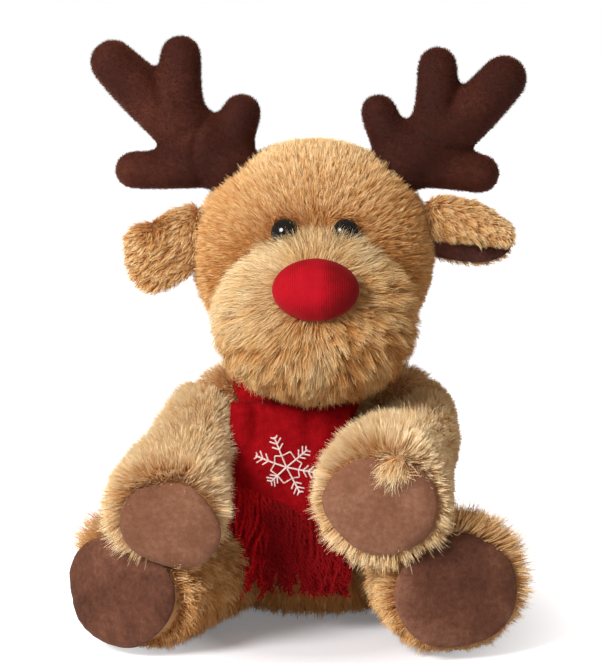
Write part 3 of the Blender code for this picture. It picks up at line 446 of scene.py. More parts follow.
def make_nose_material():
    """Ribbed red cloth pulled over the stuffing of the nose."""
    made, net, shader = new_material("nose_ribbed_cloth", 0.85, Sheen__Weight=0.12,
                                     Sheen__Tint=colour((1.0, 0.25, 0.25)),
                                     Specular__IOR__Level=0.12)
    place = object_place(net)
    split = net.split(place)
    bent = split["X"] + (net.noise(place, 90.0, 2.0) - 0.5) * 0.0006
    ribs = net.maths("SINE", bent * (2.0 * math.pi / 0.0011)) * 0.5 + 0.5
    grain = net.noise(place, 900.0, 3.0, 0.7)
    patches = net.noise(place, 60.0, 2.0)
    # Painted shade: the nose is darkened toward its right side.
    painted_shade_right = net.map_range(split["X"], 0.0, 0.020, 0.0, 0.55)
    share = net.map_range(ribs * 0.12 + grain * 0.3 + patches * 0.58, 0.3, 0.7) - painted_shade_right
    net.feed(shader.inputs["Base Color"],
             net.ramp(share, (0.0, (0.16, 0.0003, 0.002)), (0.5, (0.33, 0.0012, 0.008)),
                                                   (1.0, (0.42, 0.003, 0.014))))
    bump(net, shader, ribs * 0.4 + grain * 0.6, 0.25, 0.0002)
    return made


def make_thread_material(name, dark, light, painted_shade_span=None):
    """Twisted thread; an optional pair of places across, between which its colour sinks to the dark one:
    painted shade.
    """
    made, net, shader = new_material(name, 0.75, Specular__IOR__Level=0.15)
    place = object_place(net)
    twist = net.noise(place, 1300.0, 2.0)
    share = twist
    if painted_shade_span:
        split = net.split(place)
        share = twist - net.map_range(split["X"] + (net.noise(place, 120.0, 2.0) - 0.5) * 0.012, *painted_shade_span,
                                      0.0, 0.6)
        share = net.maths("MAXIMUM", share, 0.0)
    net.feed(shader.inputs["Base Color"], net.blend(share, colour(dark), colour(light)))
    bump(net, shader, twist, 0.4, 0.0003)
    return made


def make_eye_material():
    made, net, shader = new_material("eye_black_gloss", 0.06, Specular__IOR__Level=0.35)
    place = object_place(net)
    depth = net.noise(place, 300.0, 2.0)
    net.feed(shader.inputs["Base Color"],
             net.blend(depth, colour((0.004, 0.004, 0.005)), colour((0.012, 0.010, 0.010))))
    net.feed(shader.inputs["Roughness"], depth * 0.05 + 0.04)
    return made


def make_plain_materials():
    """Finishes of the pieces that the covers hide, with a little grain each."""
    made = {}
    for name, dark, light, roughness, scale in (
        ("filling_fibre", (0.72, 0.72, 0.70), (0.90, 0.90, 0.88), 1.0, 220.0),
        ("bead_bag_cloth", (0.55, 0.53, 0.49), (0.74, 0.72, 0.68), 0.9, 600.0),
        ("washer_plastic_white", (0.68, 0.68, 0.66), (0.78, 0.78, 0.76), 0.45, 300.0),
    ):
        look, net, shader = new_material(name, roughness)
        grain = net.noise(object_place(net), scale, 3.0)
        net.feed(shader.inputs["Base Color"], net.blend(grain, colour(dark), colour(light)))
        bump(net, shader, grain, 0.4, 0.0006)
        made[name] = look
    return made


# Shapes

def new_object(name, mesh):
    made = bpy.data.objects.new(name, mesh)
    bpy.context.scene.collection.objects.link(made)
    return made


def mesh_object(name, points, faces):
    """A smooth mesh from points and faces, with every face turned outward."""
    mesh = bpy.data.meshes.new(name)
    mesh.from_pydata(points, [], faces)
    shape = bmesh.new()
    shape.from_mesh(mesh)
    bmesh.ops.recalc_face_normals(shape, faces=shape.faces)
    shape.to_mesh(mesh)
    shape.free()
    mesh.shade_smooth()
    return new_object(name, mesh)


def evaluated_mesh(thing):
    """The mesh that a thing's modifiers make of it."""
    view = bpy.context.evaluated_depsgraph_get()
    return bpy.data.meshes.new_from_object(thing.evaluated_get(view))


def skin(name, rings, start=None, end=None):
    """A closed shape over rings of points; each end is a pole, or flat where no pole is given."""
    shape = bmesh.new()
    rows = [[shape.verts.new(point) for point in ring] for ring in rings]
    for low, high in zip(rows, rows[1:]):
        for index in range(len(low)):
            after = (index + 1) % len(low)
            shape.faces.new((low[index], low[after], high[after], high[index]))
    for row, pole in ((rows[0], start), (rows[-1], end)):
        if pole is None:
            shape.faces.new(row)
            continue
        tip = shape.verts.new(pole)
        for index in range(len(row)):
            shape.faces.new((row[index], row[(index + 1) % len(row)], tip))
    bmesh.ops.recalc_face_normals(shape, faces=shape.faces)
    mesh = bpy.data.meshes.new(name)
    shape.to_mesh(mesh)
    shape.free()
    return new_object(name, mesh)


def ellipse(centre, side, up, half_width, half_height, sides):
    angles = [2 * math.pi * index / sides for index in range(sides)]
    return [centre + side * half_width * math.cos(angle) + up * half_height * math.sin(angle)
            for angle in angles]


def ellipsoid(name, centre, half_sizes, sides=56):
    rings = []
    steps = sides // 2
    for index in range(1, steps):
        latitude = math.pi * (index / steps - 0.5)
        reach = math.cos(latitude)
        middle = centre + Vector((0, 0, half_sizes[2] * math.sin(latitude)))
        rings.append(ellipse(middle, Vector((1, 0, 0)), Vector((0, 1, 0)), half_sizes[0] * reach,
                             half_sizes[1] * reach, sides))
    pole = Vector((0, 0, half_sizes[2]))
    return skin(name, rings, centre - pole, centre + pole)


def smooth_path(points, values, steps):
    """Points and their values along a Catmull-Rom curve through the given ones."""
    rows = [(*point, value) for point, value in zip(points, values)]
    rows = [rows[0]] + rows + [rows[-1]]
    path = []
    for quad in zip(rows, rows[1:], rows[2:], rows[3:]):
        for step in range(steps):
            t = step / steps
            path.append([
                0.5 * (2 * b + (c - a) * t + (2 * a - 5 * b + 4 * c - d) * t * t + (3 * b - 3 * c + d - a)
                       * t ** 3)
                for a, b, c, d in zip(*quad)
            ])
    path.append(list(rows[-2]))
    return [Vector(row[:3]) for row in path], [row[3] for row in path]


flat_end_profile = ((0.10, 0.998), (0.20, 0.985), (0.29, 0.955), (0.37, 0.915), (0.43, 0.87), (0.45, 0.83),
                    (0.455, 0.74), (0.455, 0.5), (0.455, 0.2))


def limb(name, points, radii, grow, flat_end, sides=40, steps=6, reference=Vector((0, 0, 1))):
    """A stuffed tube along a path: a round root, and a round end or a flat one for a pad."""
    path, sizes = smooth_path(points, radii, steps)
    rings = []
    count = len(path)
    places = []
    for index, (point, size) in enumerate(zip(path, sizes)):
        along = (path[min(index + 1, count - 1)] - path[max(index - 1, 0)]).normalized()
        side = along.cross(reference).normalized()
        up = side.cross(along)
        radius = size + grow
        places.append((point, along, side, up, radius))
        rings.append(ellipse(point, side, up, radius, radius, sides))
    point, along, side, up, radius = places[0]
    caps = []
    for angle in (75, 60, 45, 30, 15):
        turn = math.radians(angle)
        reach = radius * math.cos(turn)
        caps.append(ellipse(point - along * radius * math.sin(turn), side, up, reach, reach, sides))
    start = point - along * radius
    point, along, side, up, radius = places[-1]
    if flat_end:
        full = radius - grow
        for out_share, reach_share in flat_end_profile:
            out = full * out_share + grow * out_share / end_reach_share
            rings.append(ellipse(point + along * out, side, up, full * reach_share + grow,
                                 full * reach_share + grow,
                                 sides))
        tip = point + along * (full * end_reach_share + grow)
        return skin(name, caps + rings, start, tip)
    for angle in (15, 30, 45, 60, 75):
        turn = math.radians(angle)
        reach = radius * math.cos(turn)
        rings.append(ellipse(point + along * radius * math.sin(turn), side, up, reach, reach, sides))
    return skin(name, caps + rings, start, point + along * radius)


def arm_path(side):
    points = [shoulder(side) + Vector((side * out, -forward, up)) * arm_length for out, forward,
              up in arm_shares[side]]
    return points, [paw_radius * share for share in arm_thickness_shares[side]]


def leg_path(side):
    splay = math.radians(leg_splay_degrees[side])
    ahead = Vector((side * math.sin(splay), -math.cos(splay), 0))
    root = hip(side)
    foot_height = foot_radius - foot_flat_depth
    points = []
    for share in leg_shares:
        point = root + ahead * leg_length * share
        point.z = root.z + (foot_height - root.z) * share
        points.append(point)
    return points, [foot_radius * share for share in leg_thickness_shares]


def end_place(points, sizes):
    path = smooth_path(points, sizes, 2)[0]
    along = (path[-1] - path[-2]).normalized()
    return points[-1] + along * sizes[-1] * end_reach_share, along


def pad_frame(points, sizes, shift):
    """Where a pad lies on the end of a limb: its middle, and the directions out, across and up."""
    centre, along = end_place(points, sizes)
    side = along.cross(Vector((0, 0, 1))).normalized()
    if side.x < 0:
        side = -side
    up = side.cross(along)
    if up.z < 0:
        up = -up
    turn = math.radians(shift[2])
    middle = centre + side * shift[0] + up * shift[1]
    across = side * math.cos(turn) + up * math.sin(turn)
    return middle, along, across, up * math.cos(turn) - side * math.sin(turn)


def body_form(name, grow, sides=56):
    levels = []
    for share, width, depth, shift in body_shares:
        levels.append((-grow + share * (neck.z + grow), body_half_width * width + grow,
                       body_half_depth * depth + grow,
                       body_back_shift * shift))
    radius = neck_ball_radius + grow
    points, values = smooth_path([Vector(level[:3]) for level in levels], [level[3] for level in levels], 4)
    rings = []
    for point, shift in zip(points, values):
        rings.append(ellipse(Vector((0, shift, point.x)), Vector((1, 0, 0)), Vector((0, 1, 0)), point.y,
                             point.z, sides))
    for latitude in (0, 10, 20, 30, 40, 50, 60, 70, 80):
        turn = math.radians(latitude)
        reach = radius * math.cos(turn)
        rings.append(ellipse(neck + Vector((0, 0, radius * math.sin(turn))), Vector((1, 0, 0)),
                             Vector((0, 1, 0)),
                             reach, reach, sides))
    return skin(name, rings, Vector((0, body_back_shift, -grow)), neck + Vector((0, 0, radius)))


def modify(thing, kind, **settings):
    """Adds a modifier, sets it and applies it at once."""
    change = thing.modifiers.new(kind.lower(), kind)
    for name, value in settings.items():
        setattr(change, name, value)
    bpy.context.view_layer.update()
    mesh = evaluated_mesh(thing)
    thing.modifiers.clear()
    thing.data = mesh


def cut(target, *others):
    for other in others:
        modify(target, "BOOLEAN", operation="DIFFERENCE", solver="EXACT", object=other)
        bpy.data.objects.remove(other, do_unlink=True)


def gather(target, *others):
    """Puts closed shapes that cross one another into one mesh, for soften to melt together."""
    shape = bmesh.new()
    shape.from_mesh(target.data)
    for other in others:
        shape.from_mesh(other.data)
        bpy.data.objects.remove(other, do_unlink=True)
    shape.to_mesh(target.data)
    shape.free()


def soften(thing, voxel, smooth_steps):
    """Melts the joins of a form into one soft surface."""
    modify(thing, "REMESH", mode="VOXEL", voxel_size=voxel)
    modify(thing, "SMOOTH", factor=0.5, iterations=smooth_steps)
    thing.data.shade_smooth()


def keep_above(thing, height):
    """Flattens what would sink under a height, as where a limb rests on the ground."""
    for vertex in thing.data.vertices:
        vertex.co.z = max(vertex.co.z, height)


def puff(thing, pressure, frames, cap):
    """Swells a stuffed form with a short cloth simulation; no point moves further than the cap."""
    rest = np.empty(3 * len(thing.data.vertices))
    thing.data.vertices.foreach_get("co", rest)
    change = thing.modifiers.new("cloth", "CLOTH")
    settings = change.settings
    settings.use_pressure = True
    settings.uniform_pressure_force = pressure
    settings.effector_weights.gravity = 0
    settings.mass = 0.2
    settings.quality = 5
    settings.tension_stiffness = 12
    settings.compression_stiffness = 6
    settings.shear_stiffness = 5
    settings.bending_stiffness = 0.4
    scene = bpy.context.scene
    for step in range(1, frames + 1):
        scene.frame_set(step)
    mesh = evaluated_mesh(thing)
    thing.modifiers.clear()
    scene.frame_set(1)
    moved = np.empty_like(rest)
    mesh.vertices.foreach_get("co", moved)
    shift = (moved - rest).reshape(-1, 3)
    length = np.linalg.norm(shift, axis=1, keepdims=True)
    shift *= np.minimum(1.0, cap / np.maximum(length, 1e-9))
    mesh.vertices.foreach_set("co", (rest.reshape(-1, 3) + shift).ravel())
    thing.data = mesh
    thing.data.shade_smooth()


def tree_of(thing):
    mesh = thing.data
    return BVHTree.FromPolygons([vertex.co.copy() for vertex in mesh.vertices],
                                [tuple(face.vertices) for face in mesh.polygons])


def show(thing, look, body, nodes=()):
    """Gives a finished piece its material, its body and the nodes that it stands for."""
    thing.data.materials.clear()
    thing.data.materials.append(look)
    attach(thing, body)
    if nodes:
        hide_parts(*nodes)
    return thing


# The pile: one tree for long plush and short nap

groom_names = ("comb", "pile", "cover", "shade", "stand", "clump")
fibre_names = ("root", "up", "ahead", "across", "pull", "face", "reach", "tint", "height", "s", "t")


def build_pile_tree():
    """Fibres on a skin, leaning along its comb directions and drawn together into tufts."""
    tree = bpy.data.node_groups.new("pile", "GeometryNodeTree")
    face = tree.interface
    face.new_socket("Geometry", in_out="OUTPUT", socket_type="NodeSocketGeometry")
    face.new_socket("Geometry", in_out="INPUT", socket_type="NodeSocketGeometry")
    for name, kind in (("Density", "Float"), ("Length", "Float"), ("Width", "Float"), ("Stand", "Float"),
                       ("Tuft Density", "Float"), ("Tuft Pull", "Float"), ("Wander", "Float"),
                       ("Tuft Lean", "Float"), ("Tuft Shade", "Float"), ("Tuft Gap", "Float"),
                       ("Tint Spread", "Float"),
                       ("Tint Shift", "Float"),
                       ("Segments", "Int"), ("Seed", "Int"), ("Material", "Material")):
        face.new_socket(name, in_out="INPUT", socket_type="NodeSocket" + kind)
    net = Net(tree)
    given = net.node("NodeGroupInput")

    def attribute(name, kind="FLOAT"):
        return net.node("GeometryNodeInputNamedAttribute", {"data_type": kind}, Name=name)["Attribute"]

    def store(geometry, name, value, kind="FLOAT", domain="POINT"):
        return net.node("GeometryNodeStoreNamedAttribute", {"data_type": kind, "domain": domain},
                        Geometry=geometry, Name=name, Value=value)["Geometry"]

    def chance(low, high, seed, kind="FLOAT", order=None):
        ends = {"FLOAT": ("Min_001", "Max_001", "Value_001"), "FLOAT_VECTOR": ("Min", "Max", "Value")}[kind]
        made = net.node("FunctionNodeRandomValue", {"data_type": kind},
                        **{ends[0]: low, ends[1]: high, "Seed": seed})
        if order is not None:
            net.feed(find_socket(made.node.inputs, "ID"), order)
        return made[ends[2]]

    skin_in = given["Geometry"]
    cover = attribute("cover")
    strands = net.node("GeometryNodeDistributePointsOnFaces", {"distribute_method": "RANDOM"}, Mesh=skin_in,
                       Density=given["Density"] * cover, Seed=given["Seed"])
    tufts = net.node("GeometryNodeDistributePointsOnFaces", {"distribute_method": "RANDOM"}, Mesh=skin_in,
                     Density=given["Tuft Density"], Seed=given["Seed"] + 7)
    place = net.node("GeometryNodeInputPosition")["Position"]
    nearest = net.node("GeometryNodeSampleNearest", {"domain": "POINT"}, Geometry=tufts["Points"],
                       Sample__Position=place)["Index"]
    tuft = net.node("GeometryNodeSampleIndex", {"data_type": "FLOAT_VECTOR", "domain": "POINT"},
                    Geometry=tufts["Points"], Value=place, Index=nearest)["Value"]
    up = strands["Normal"]
    tuft_lean = chance((-1, -1, -1), (1, 1, 1), given["Seed"] + 3, "FLOAT_VECTOR", nearest)
    drift = (net.noise(place, 55.0, 1.0, 0.5, "Color") - (0.5, 0.5, 0.5)) * 2.0
    fine_drift = chance((-1, -1, -1), (1, 1, 1), given["Seed"] + 5, "FLOAT_VECTOR")
    lean = (attribute("comb", "FLOAT_VECTOR") + drift * given["Wander"] + tuft_lean * given["Tuft Lean"]
            + fine_drift * (given["Wander"] * 0.45))
    flat = lean - up * net.vector_maths("DOT_PRODUCT", lean, up, output="Value")
    ahead = net.vector_maths("NORMALIZE", flat)
    across = net.vector_maths("CROSS_PRODUCT", up, ahead)
    twist = chance(-1.35, 1.35, given["Seed"] + 11)
    facing = net.vector_maths("NORMALIZE", up - ahead * 0.5)
    across = net.vector_maths("NORMALIZE", across) * net.maths("COSINE",
                                                               twist) + facing * net.maths("SINE", twist)
    reach = (given["Length"] * attribute("pile") * chance(0.62, 1.12, given["Seed"] + 13)
             * chance(0.80, 1.14, given["Seed"] + 29, "FLOAT", nearest))
    # Fibres far from their tuft's middle are tinted darker: painted shade in the gaps between tufts.
    apart = net.vector_maths("LENGTH", tuft - place,
                             output="Value") * net.maths("SQRT", given["Tuft Density"])
    gap = net.map_range(apart, 0.28, 0.68) * given["Tuft Gap"] * attribute("clump")
    tuft_tint = chance(-1.0, 1.0, given["Seed"] + 17, "FLOAT", nearest)
    own_tint = chance(-1.0, 1.0, given["Seed"] + 19)
    # The tint takes the rules' shade, with its painted light and shade, and Tint Shift, whose negative values
    # on the under layers are painted shade deep in the pile.
    tint = (attribute("shade") + given["Tint Shift"] - gap
            + (tuft_tint * 0.55 + own_tint * 0.45) * given["Tint Spread"])
    stand = attribute("stand") * given["Stand"] * chance(0.78, 1.22, given["Seed"] + 23)
    points = strands["Points"]
    for name, value, kind in (("root", place, "FLOAT_VECTOR"), ("up", up, "FLOAT_VECTOR"),
                              ("ahead", ahead, "FLOAT_VECTOR"), ("across", across, "FLOAT_VECTOR"),
                              ("pull", (tuft - place) * (given["Tuft Pull"] * attribute("clump")),
                               "FLOAT_VECTOR"),
                              ("face", net.vector_maths("NORMALIZE", up + tuft_lean * given["Tuft Shade"]),
                               "FLOAT_VECTOR"),
                              ("reach", reach, "FLOAT"), ("tint", tint, "FLOAT"), ("height", stand, "FLOAT")):
        points = store(points, name, value, kind)

    ribbon = net.node("GeometryNodeMeshGrid", None, Size__X=2.0, Size__Y=1.0, Vertices__X=2,
                      Vertices__Y=given["Segments"] + 1)["Mesh"]
    local = net.split(net.node("GeometryNodeInputPosition"))
    ribbon = store(store(ribbon, "s", local["X"]), "t", local["Y"] + 0.5)
    placed = net.node("GeometryNodeInstanceOnPoints", None, Points=points, Instance=ribbon)["Instances"]
    grown = net.node("GeometryNodeRealizeInstances", None, Geometry=placed)["Geometry"]

    t = attribute("t")
    s = attribute("s")
    root = attribute("root", "FLOAT_VECTOR")
    reach = attribute("reach")
    height = attribute("height")
    run = net.maths("SQRT", net.maths("MAXIMUM", 1.0 - height * height, 0.04))
    rise = attribute("up", "FLOAT_VECTOR") * (reach * height * (t * 1.4 - t * t * 0.4))
    forward = attribute("ahead", "FLOAT_VECTOR") * (reach * run * (t * 0.6 + t * t * 0.4))
    gathered = attribute("pull", "FLOAT_VECTOR") * (t * t)
    spread = attribute("across", "FLOAT_VECTOR") * (s * given["Width"] * 0.5 * (1.0 - t * 0.82))
    curl = (net.noise(root * 1.0 + attribute("up", "FLOAT_VECTOR") * (t * 0.004), 650.0, 1.0, 0.5, "Color")
            - (0.5, 0.5, 0.5)) * (reach * t * 0.28)
    bent = net.node("GeometryNodeSetPosition", None, Geometry=grown,
                    Position=root + rise + forward + gathered + spread + curl)["Geometry"]
    tint_across = net.maths("MINIMUM", net.maths("MAXIMUM", attribute("tint"), 0.02), 0.98) + s * 0.006
    fibre_map = net.node("ShaderNodeCombineXYZ", None, X=tint_across, Y=t * 0.96 + 0.02)["Vector"]
    mapped = store(bent, "OFBake", fibre_map, "FLOAT2", "CORNER")
    soft = net.node("GeometryNodeSetMeshNormal", {"mode": "FREE", "domain": "POINT"}, Mesh=mapped)
    net.feed(soft.node.inputs["Custom Normal"], attribute("face", "FLOAT_VECTOR"))
    finished = net.node("GeometryNodeSetMaterial", None, Geometry=soft[0],
                        Material=given["Material"])["Geometry"]
    out = net.node("NodeGroupOutput")
    net.feed(out.node.inputs["Geometry"], finished)
    return tree


pile_tree = build_pile_tree()


def drop_attributes(mesh, names):
    for name in names:
        if name in mesh.attributes:
            mesh.attributes.remove(mesh.attributes[name])


def grow_pile(name, ground, body, material_slot, look, seed, **sizes):
    """Runs the pile tree over a skin and keeps the result as one plain mesh."""
    planted = ground.copy()
    planted.data = ground.data.copy()
    bpy.context.scene.collection.objects.link(planted)
    change = planted.modifiers.new("pile", "NODES")
    change.node_group = pile_tree
    values = {"Density": 1.0e6, "Length": 0.009, "Width": 0.0004, "Stand": 0.55, "Tuft Density": 9.0e4,
              "Tuft Pull": 0.5, "Wander": 0.35, "Tuft Lean": 0.25, "Tuft Shade": 0.3, "Tuft Gap": 0.30,
              "Tint Spread": 0.3, "Tint Shift": 0.0, "Segments": 2, "Seed": seed, "Material": look}
    values.update({key.replace("_", " ").title(): value for key, value in sizes.items()})
    for item in pile_tree.interface.items_tree:
        if item.in_out == "INPUT" and item.name in values:
            change[item.identifier] = values[item.name]
    bpy.context.view_layer.update()
    mesh = evaluated_mesh(planted)
    bpy.data.objects.remove(planted, do_unlink=True)
    drop_attributes(mesh, groom_names + fibre_names)
    made = new_object(name, mesh)
    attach(made, body)
    return made


def groom(ground, rule):
    """Writes what a rule gives each point of a skin: comb, pile, cover, shade, stand and clump; shade sets
    the fibres' tint and carries most rules' painted light and shade.
    """
    mesh = ground.data
    count = len(mesh.vertices)
    rows = {name: np.ones(count) for name in groom_names}
    rows["comb"] = np.zeros((count, 3))
    rows["shade"] *= 0.5
    for vertex in mesh.vertices:
        for key, value in rule(vertex.co, vertex.normal).items():
            rows[key][vertex.index] = value
    for key, values in rows.items():
        kind, part = ("FLOAT_VECTOR", "vector") if key == "comb" else ("FLOAT", "value")
        mesh.attributes.new(key, kind, "POINT").data.foreach_set(part, values.ravel())


def fade(value, low, high):
    """0 below the low end, 1 above the high end, smooth between."""
    share = min(1.0, max(0.0, (value - low) / (high - low)))
    return share * share * (3 - 2 * share)


# Materials
# The roots and dark tips of both fibre materials also carry painted shade.
plush_fibre = make_fibre_material("plush_fibre", (0.60, 0.24, 0.058), (0.92, 0.66, 0.325), (0.99, 0.85, 0.58),
                                  (0.62, 0.28, 0.075))
muzzle_fibre = make_fibre_material("muzzle_fibre", (0.50, 0.18, 0.040), (0.80, 0.56, 0.260),
                                   (0.85, 0.73, 0.48),
                                   (0.58, 0.25, 0.060))
plush_backing = make_skin_material("plush_backing", (0.38, 0.17, 0.06), (0.58, 0.32, 0.14))
antler_velour = make_velour("antler_velour", (0.020, 0.0038, 0.0022), (0.040, 0.0082, 0.0044),
                            (0.085, 0.021, 0.0105),
                            16.0, sheen=0.30, sheen_tint=(0.85, 0.30, 0.18))
pad_velour = make_velour("pad_velour", (0.105, 0.040, 0.021), (0.190, 0.080, 0.044), (0.300, 0.150, 0.094),
                         20.0, 0.22)
sole_velour = make_velour("sole_velour", (0.045, 0.014, 0.007), (0.112, 0.041, 0.023), (0.220, 0.100, 0.062),
                          22.0, 0.22)
lining_velour = make_velour("lining_velour", (0.022, 0.006, 0.005), (0.060, 0.018, 0.013),
                            (0.13, 0.045, 0.030))
antler_nap = make_nap_material("antler_nap", (0.024, 0.0040, 0.0020), (0.13, 0.028, 0.012))
red_fibre = make_nap_material("red_fibre", (0.26, 0.001, 0.004), (0.56, 0.008, 0.016))
scarf_wool = make_scarf_material()
nose_cloth = make_nose_material()
# The yarns are darkened from the left bunch rightward: painted shade where the fringe hangs under the paw.
fringe_yarn = make_thread_material("fringe_yarn", (0.17, 0.0005, 0.002), (0.90, 0.008, 0.018),
                                   (-0.031, -0.020))
snow_thread = make_thread_material("snow_thread", (0.62, 0.46, 0.45), (0.92, 0.82, 0.80))
tan_thread = make_thread_material("tan_thread_twist", (0.16, 0.07, 0.03), (0.34, 0.18, 0.09))
eye_gloss = make_eye_material()
plain = make_plain_materials()


# Head

def eye_place(side):
    across = side * eye_spacing / 2
    depth = math.sqrt(1 - (across / head_half_sizes.x) ** 2 - (eye_rise / head_half_sizes.z) ** 2)
    point = Vector((across, -head_half_sizes.y * depth, eye_rise))
    outward = Vector((point.x / head_half_sizes.x ** 2, point.y / head_half_sizes.y ** 2,
                      point.z / head_half_sizes.z ** 2)).normalized()
    return head_middle + point, outward


eyes = {side: eye_place(side) for side in (-1, 1)}


def inside_share(point, middle, half_sizes):
    """How far out a point lies in an ellipsoid: 1 on its surface."""
    offset = point - middle
    return math.sqrt(sum((offset[axis] / half_sizes[axis]) ** 2 for axis in range(3)))


def head_rule(point, normal):
    away = (point - (nose_middle + Vector((0, 0.02, 0.0)))).normalized()
    comb = away + Vector((0, 0.15, -0.12))
    cover = fade(inside_share(point, muzzle_middle, muzzle_half_sizes), 0.80, 0.90)
    pile = 1.0
    stand = 1.0
    painted_eye_shade = 0.0
    for place, outward in eyes.values():
        place = place - Vector((0, 0, eye_drop))
        gap = (point - place).length
        cover *= fade(gap, eye_radius * 0.60, eye_radius * 0.75)
        ring = 1 - fade(gap, eye_radius * 0.9, eye_radius * 1.9)
        above = fade(point.z - place.z, 0.0, 0.004)
        comb += ((place - point).normalized() + Vector((0, 0, -0.6))) * 2.2 * ring * above
        pile *= 1 + 0.35 * ring * above - 0.35 * ring * (1 - above)
        stand *= 1 + 0.35 * ring * above
        # Painted shade round each eye, under the brow fur.
        painted_eye_shade -= 0.36 * ring
    for side in (-1, 1):
        gap = (point - antler_root(side)).length
        cover *= fade(gap, antler_root_radius * 0.8, antler_root_radius * 0.95)
        gap = (point - ear_root(side)).length
        cover *= 0.4 + 0.6 * fade(gap, ear_root_radius * 0.8, ear_root_radius * 1.2)
    if (point - neck).length < neck_ball_radius + 0.006:
        cover = 0
    face = fade(-normal.y, 0.1, 0.9) * fade(point.z, 0.19, 0.215)
    pile *= (1.0 - 0.10 * face) * (1 - 0.25 * fade(point.z, 0.225, 0.250)) * (1 - 0.30
                                                                              * fade(point.x, 0.030, 0.060))
    top = fade(point.z, 0.215, 0.245)
    beside = 1 - fade(inside_share(point, muzzle_middle, muzzle_half_sizes), 1.02, 1.30)
    away = fade(point.x, 0.018, 0.052)
    pile *= 1 - 0.35 * beside
    # Painted light on the top of the head; painted shade on the face front, round the eyes and beside the
    # muzzle.
    shade = 0.62 + 0.14 * top - 0.06 * face * (1 - top) + painted_eye_shade - 0.30 * beside
    # Painted shade down the right side of the head.
    shade -= 0.32 * away * (1 - 0.4 * top)
    # The left side is darkened where the key light falls strongest.
    shade -= 0.24 * fade(-point.x, 0.020, 0.050)
    return {"comb": comb, "cover": cover, "pile": pile, "stand": stand, "shade": shade}


def muzzle_rule(point, normal):
    away = point - nose_middle
    away.y *= 0.35
    comb = away.normalized()
    low = fade(nose_middle.z - 0.012 - point.z, 0.0, 0.02)
    comb += Vector((0.0, 0.0, -0.22 * low))
    middle = 1 - fade(abs(point.x - 0.004), 0.0, 0.010)
    parting = middle * low * fade(-point.y, 0.075, 0.095)
    comb += Vector((0.9 * math.copysign(1, point.x - 0.004), 0, 0)) * parting * 0.7
    gap = inside_share(point, nose_middle, nose_half_sizes)
    cover = fade(gap, 0.80, 0.98)
    if inside_share(point, head_middle, head_half_sizes) < 0.86:
        cover = 0
    near_nose = 1 - fade(gap, 1.0, 1.7)
    upper = fade(point.z, nose_middle.z - 0.004, nose_middle.z + 0.014)
    brow = fade(point.z, nose_middle.z + 0.008, nose_middle.z + 0.020)
    comb += Vector((0, -1.1, 0.6)) * brow
    pile = 1.00 - 0.35 * near_nose - 0.10 * upper * (1 - brow) + 0.15 * brow - 0.10 * low
    stand = 1.0 + 0.10 * low + 0.75 * brow
    # Smooth fur on the top and the upper left, which also takes painted light below.
    smooth = max(upper, fade(-point.x, -0.010, 0.020) * (1 - 0.8 * low))
    right = fade(point.x, 0.022, 0.050)
    # Painted shade low down, under the nose and on the right; painted light on the smooth upper left; the
    # parting is lighter.
    shade = 0.62 - 0.16 * low + 0.18 * smooth - 0.25 * near_nose * (1 - upper) + 0.26 * parting - 0.16 * right
    return {"comb": comb, "cover": cover, "pile": pile, "stand": stand, "shade": shade,
            "clump": 1.25 - 0.95 * smooth}


head_skin = ellipsoid("head_plush", head_middle, head_half_sizes - Vector([pile_depth] * 3), 64)
cut(head_skin, ellipsoid("neck_room", neck, Vector([neck_ball_radius + neck_room_gap] * 3), 40))
for side in (-1, 1):
    cut(head_skin, ellipsoid("antler_room", antler_root(side),
                             Vector([antler_root_radius + antler_room_gap] * 3), 32))
soften(head_skin, 0.0030, 6)
groom(head_skin, head_rule)
grow_pile("head_pile_under", head_skin, "head", "plush", plush_fibre, 101, density=1.7e6, length=0.0064,
          width=0.00055, stand=0.78, tint_shift=-0.14, tuft_density=1.2e5, tuft_pull=0.30, wander=0.5,
          segments=1)
grow_pile("head_pile", head_skin, "head", "plush", plush_fibre, 102, density=2.1e6, length=0.0074,
          width=0.00044, stand=0.74, tuft_density=2.0e5, tuft_pull=0.60, wander=0.55, segments=1)
drop_attributes(head_skin.data, groom_names)
show(head_skin, plush_backing, "head", ("head_cover",))

muzzle_skin = ellipsoid("muzzle_plush", muzzle_middle, muzzle_half_sizes - Vector([muzzle_pile_depth] * 3),
                        64)
cut(muzzle_skin, ellipsoid("head_room", head_middle, head_half_sizes - Vector([pile_depth + 0.001] * 3), 48))
groom(muzzle_skin, muzzle_rule)
grow_pile("muzzle_pile_under", muzzle_skin, "head", "long_plush", muzzle_fibre, 111, density=1.7e6,
          length=0.0085,
          width=0.00050, stand=0.66, tint_shift=-0.14, tuft_density=5.0e4, tuft_pull=0.35, segments=1)
grow_pile("muzzle_pile", muzzle_skin, "head", "long_plush", muzzle_fibre, 112, density=2.2e6, length=0.0120,
          width=0.00040, stand=0.52, tuft_density=3.6e4, tuft_pull=0.68, wander=0.45)
drop_attributes(muzzle_skin.data, groom_names)
show(muzzle_skin, plush_backing, "head", ("muzzle_cover",))


def make_nose():
    made = ellipsoid("nose_plush", nose_middle, nose_half_sizes, 56)
    for vertex in made.data.vertices:
        offset = vertex.co - nose_middle
        pinch = math.exp(-((offset.x + 0.001) / 0.0035) ** 2) * 0.0007
        pleat = 0.0002 * math.sin(offset.x / nose_half_sizes.x * 9 + 1.3) * fade(abs(offset.z), 0.004, 0.013)
        vertex.co.y += pinch + pleat
    made.data.shade_smooth()
    show(made, nose_cloth, "head", ("nose_cover",))


make_nose()


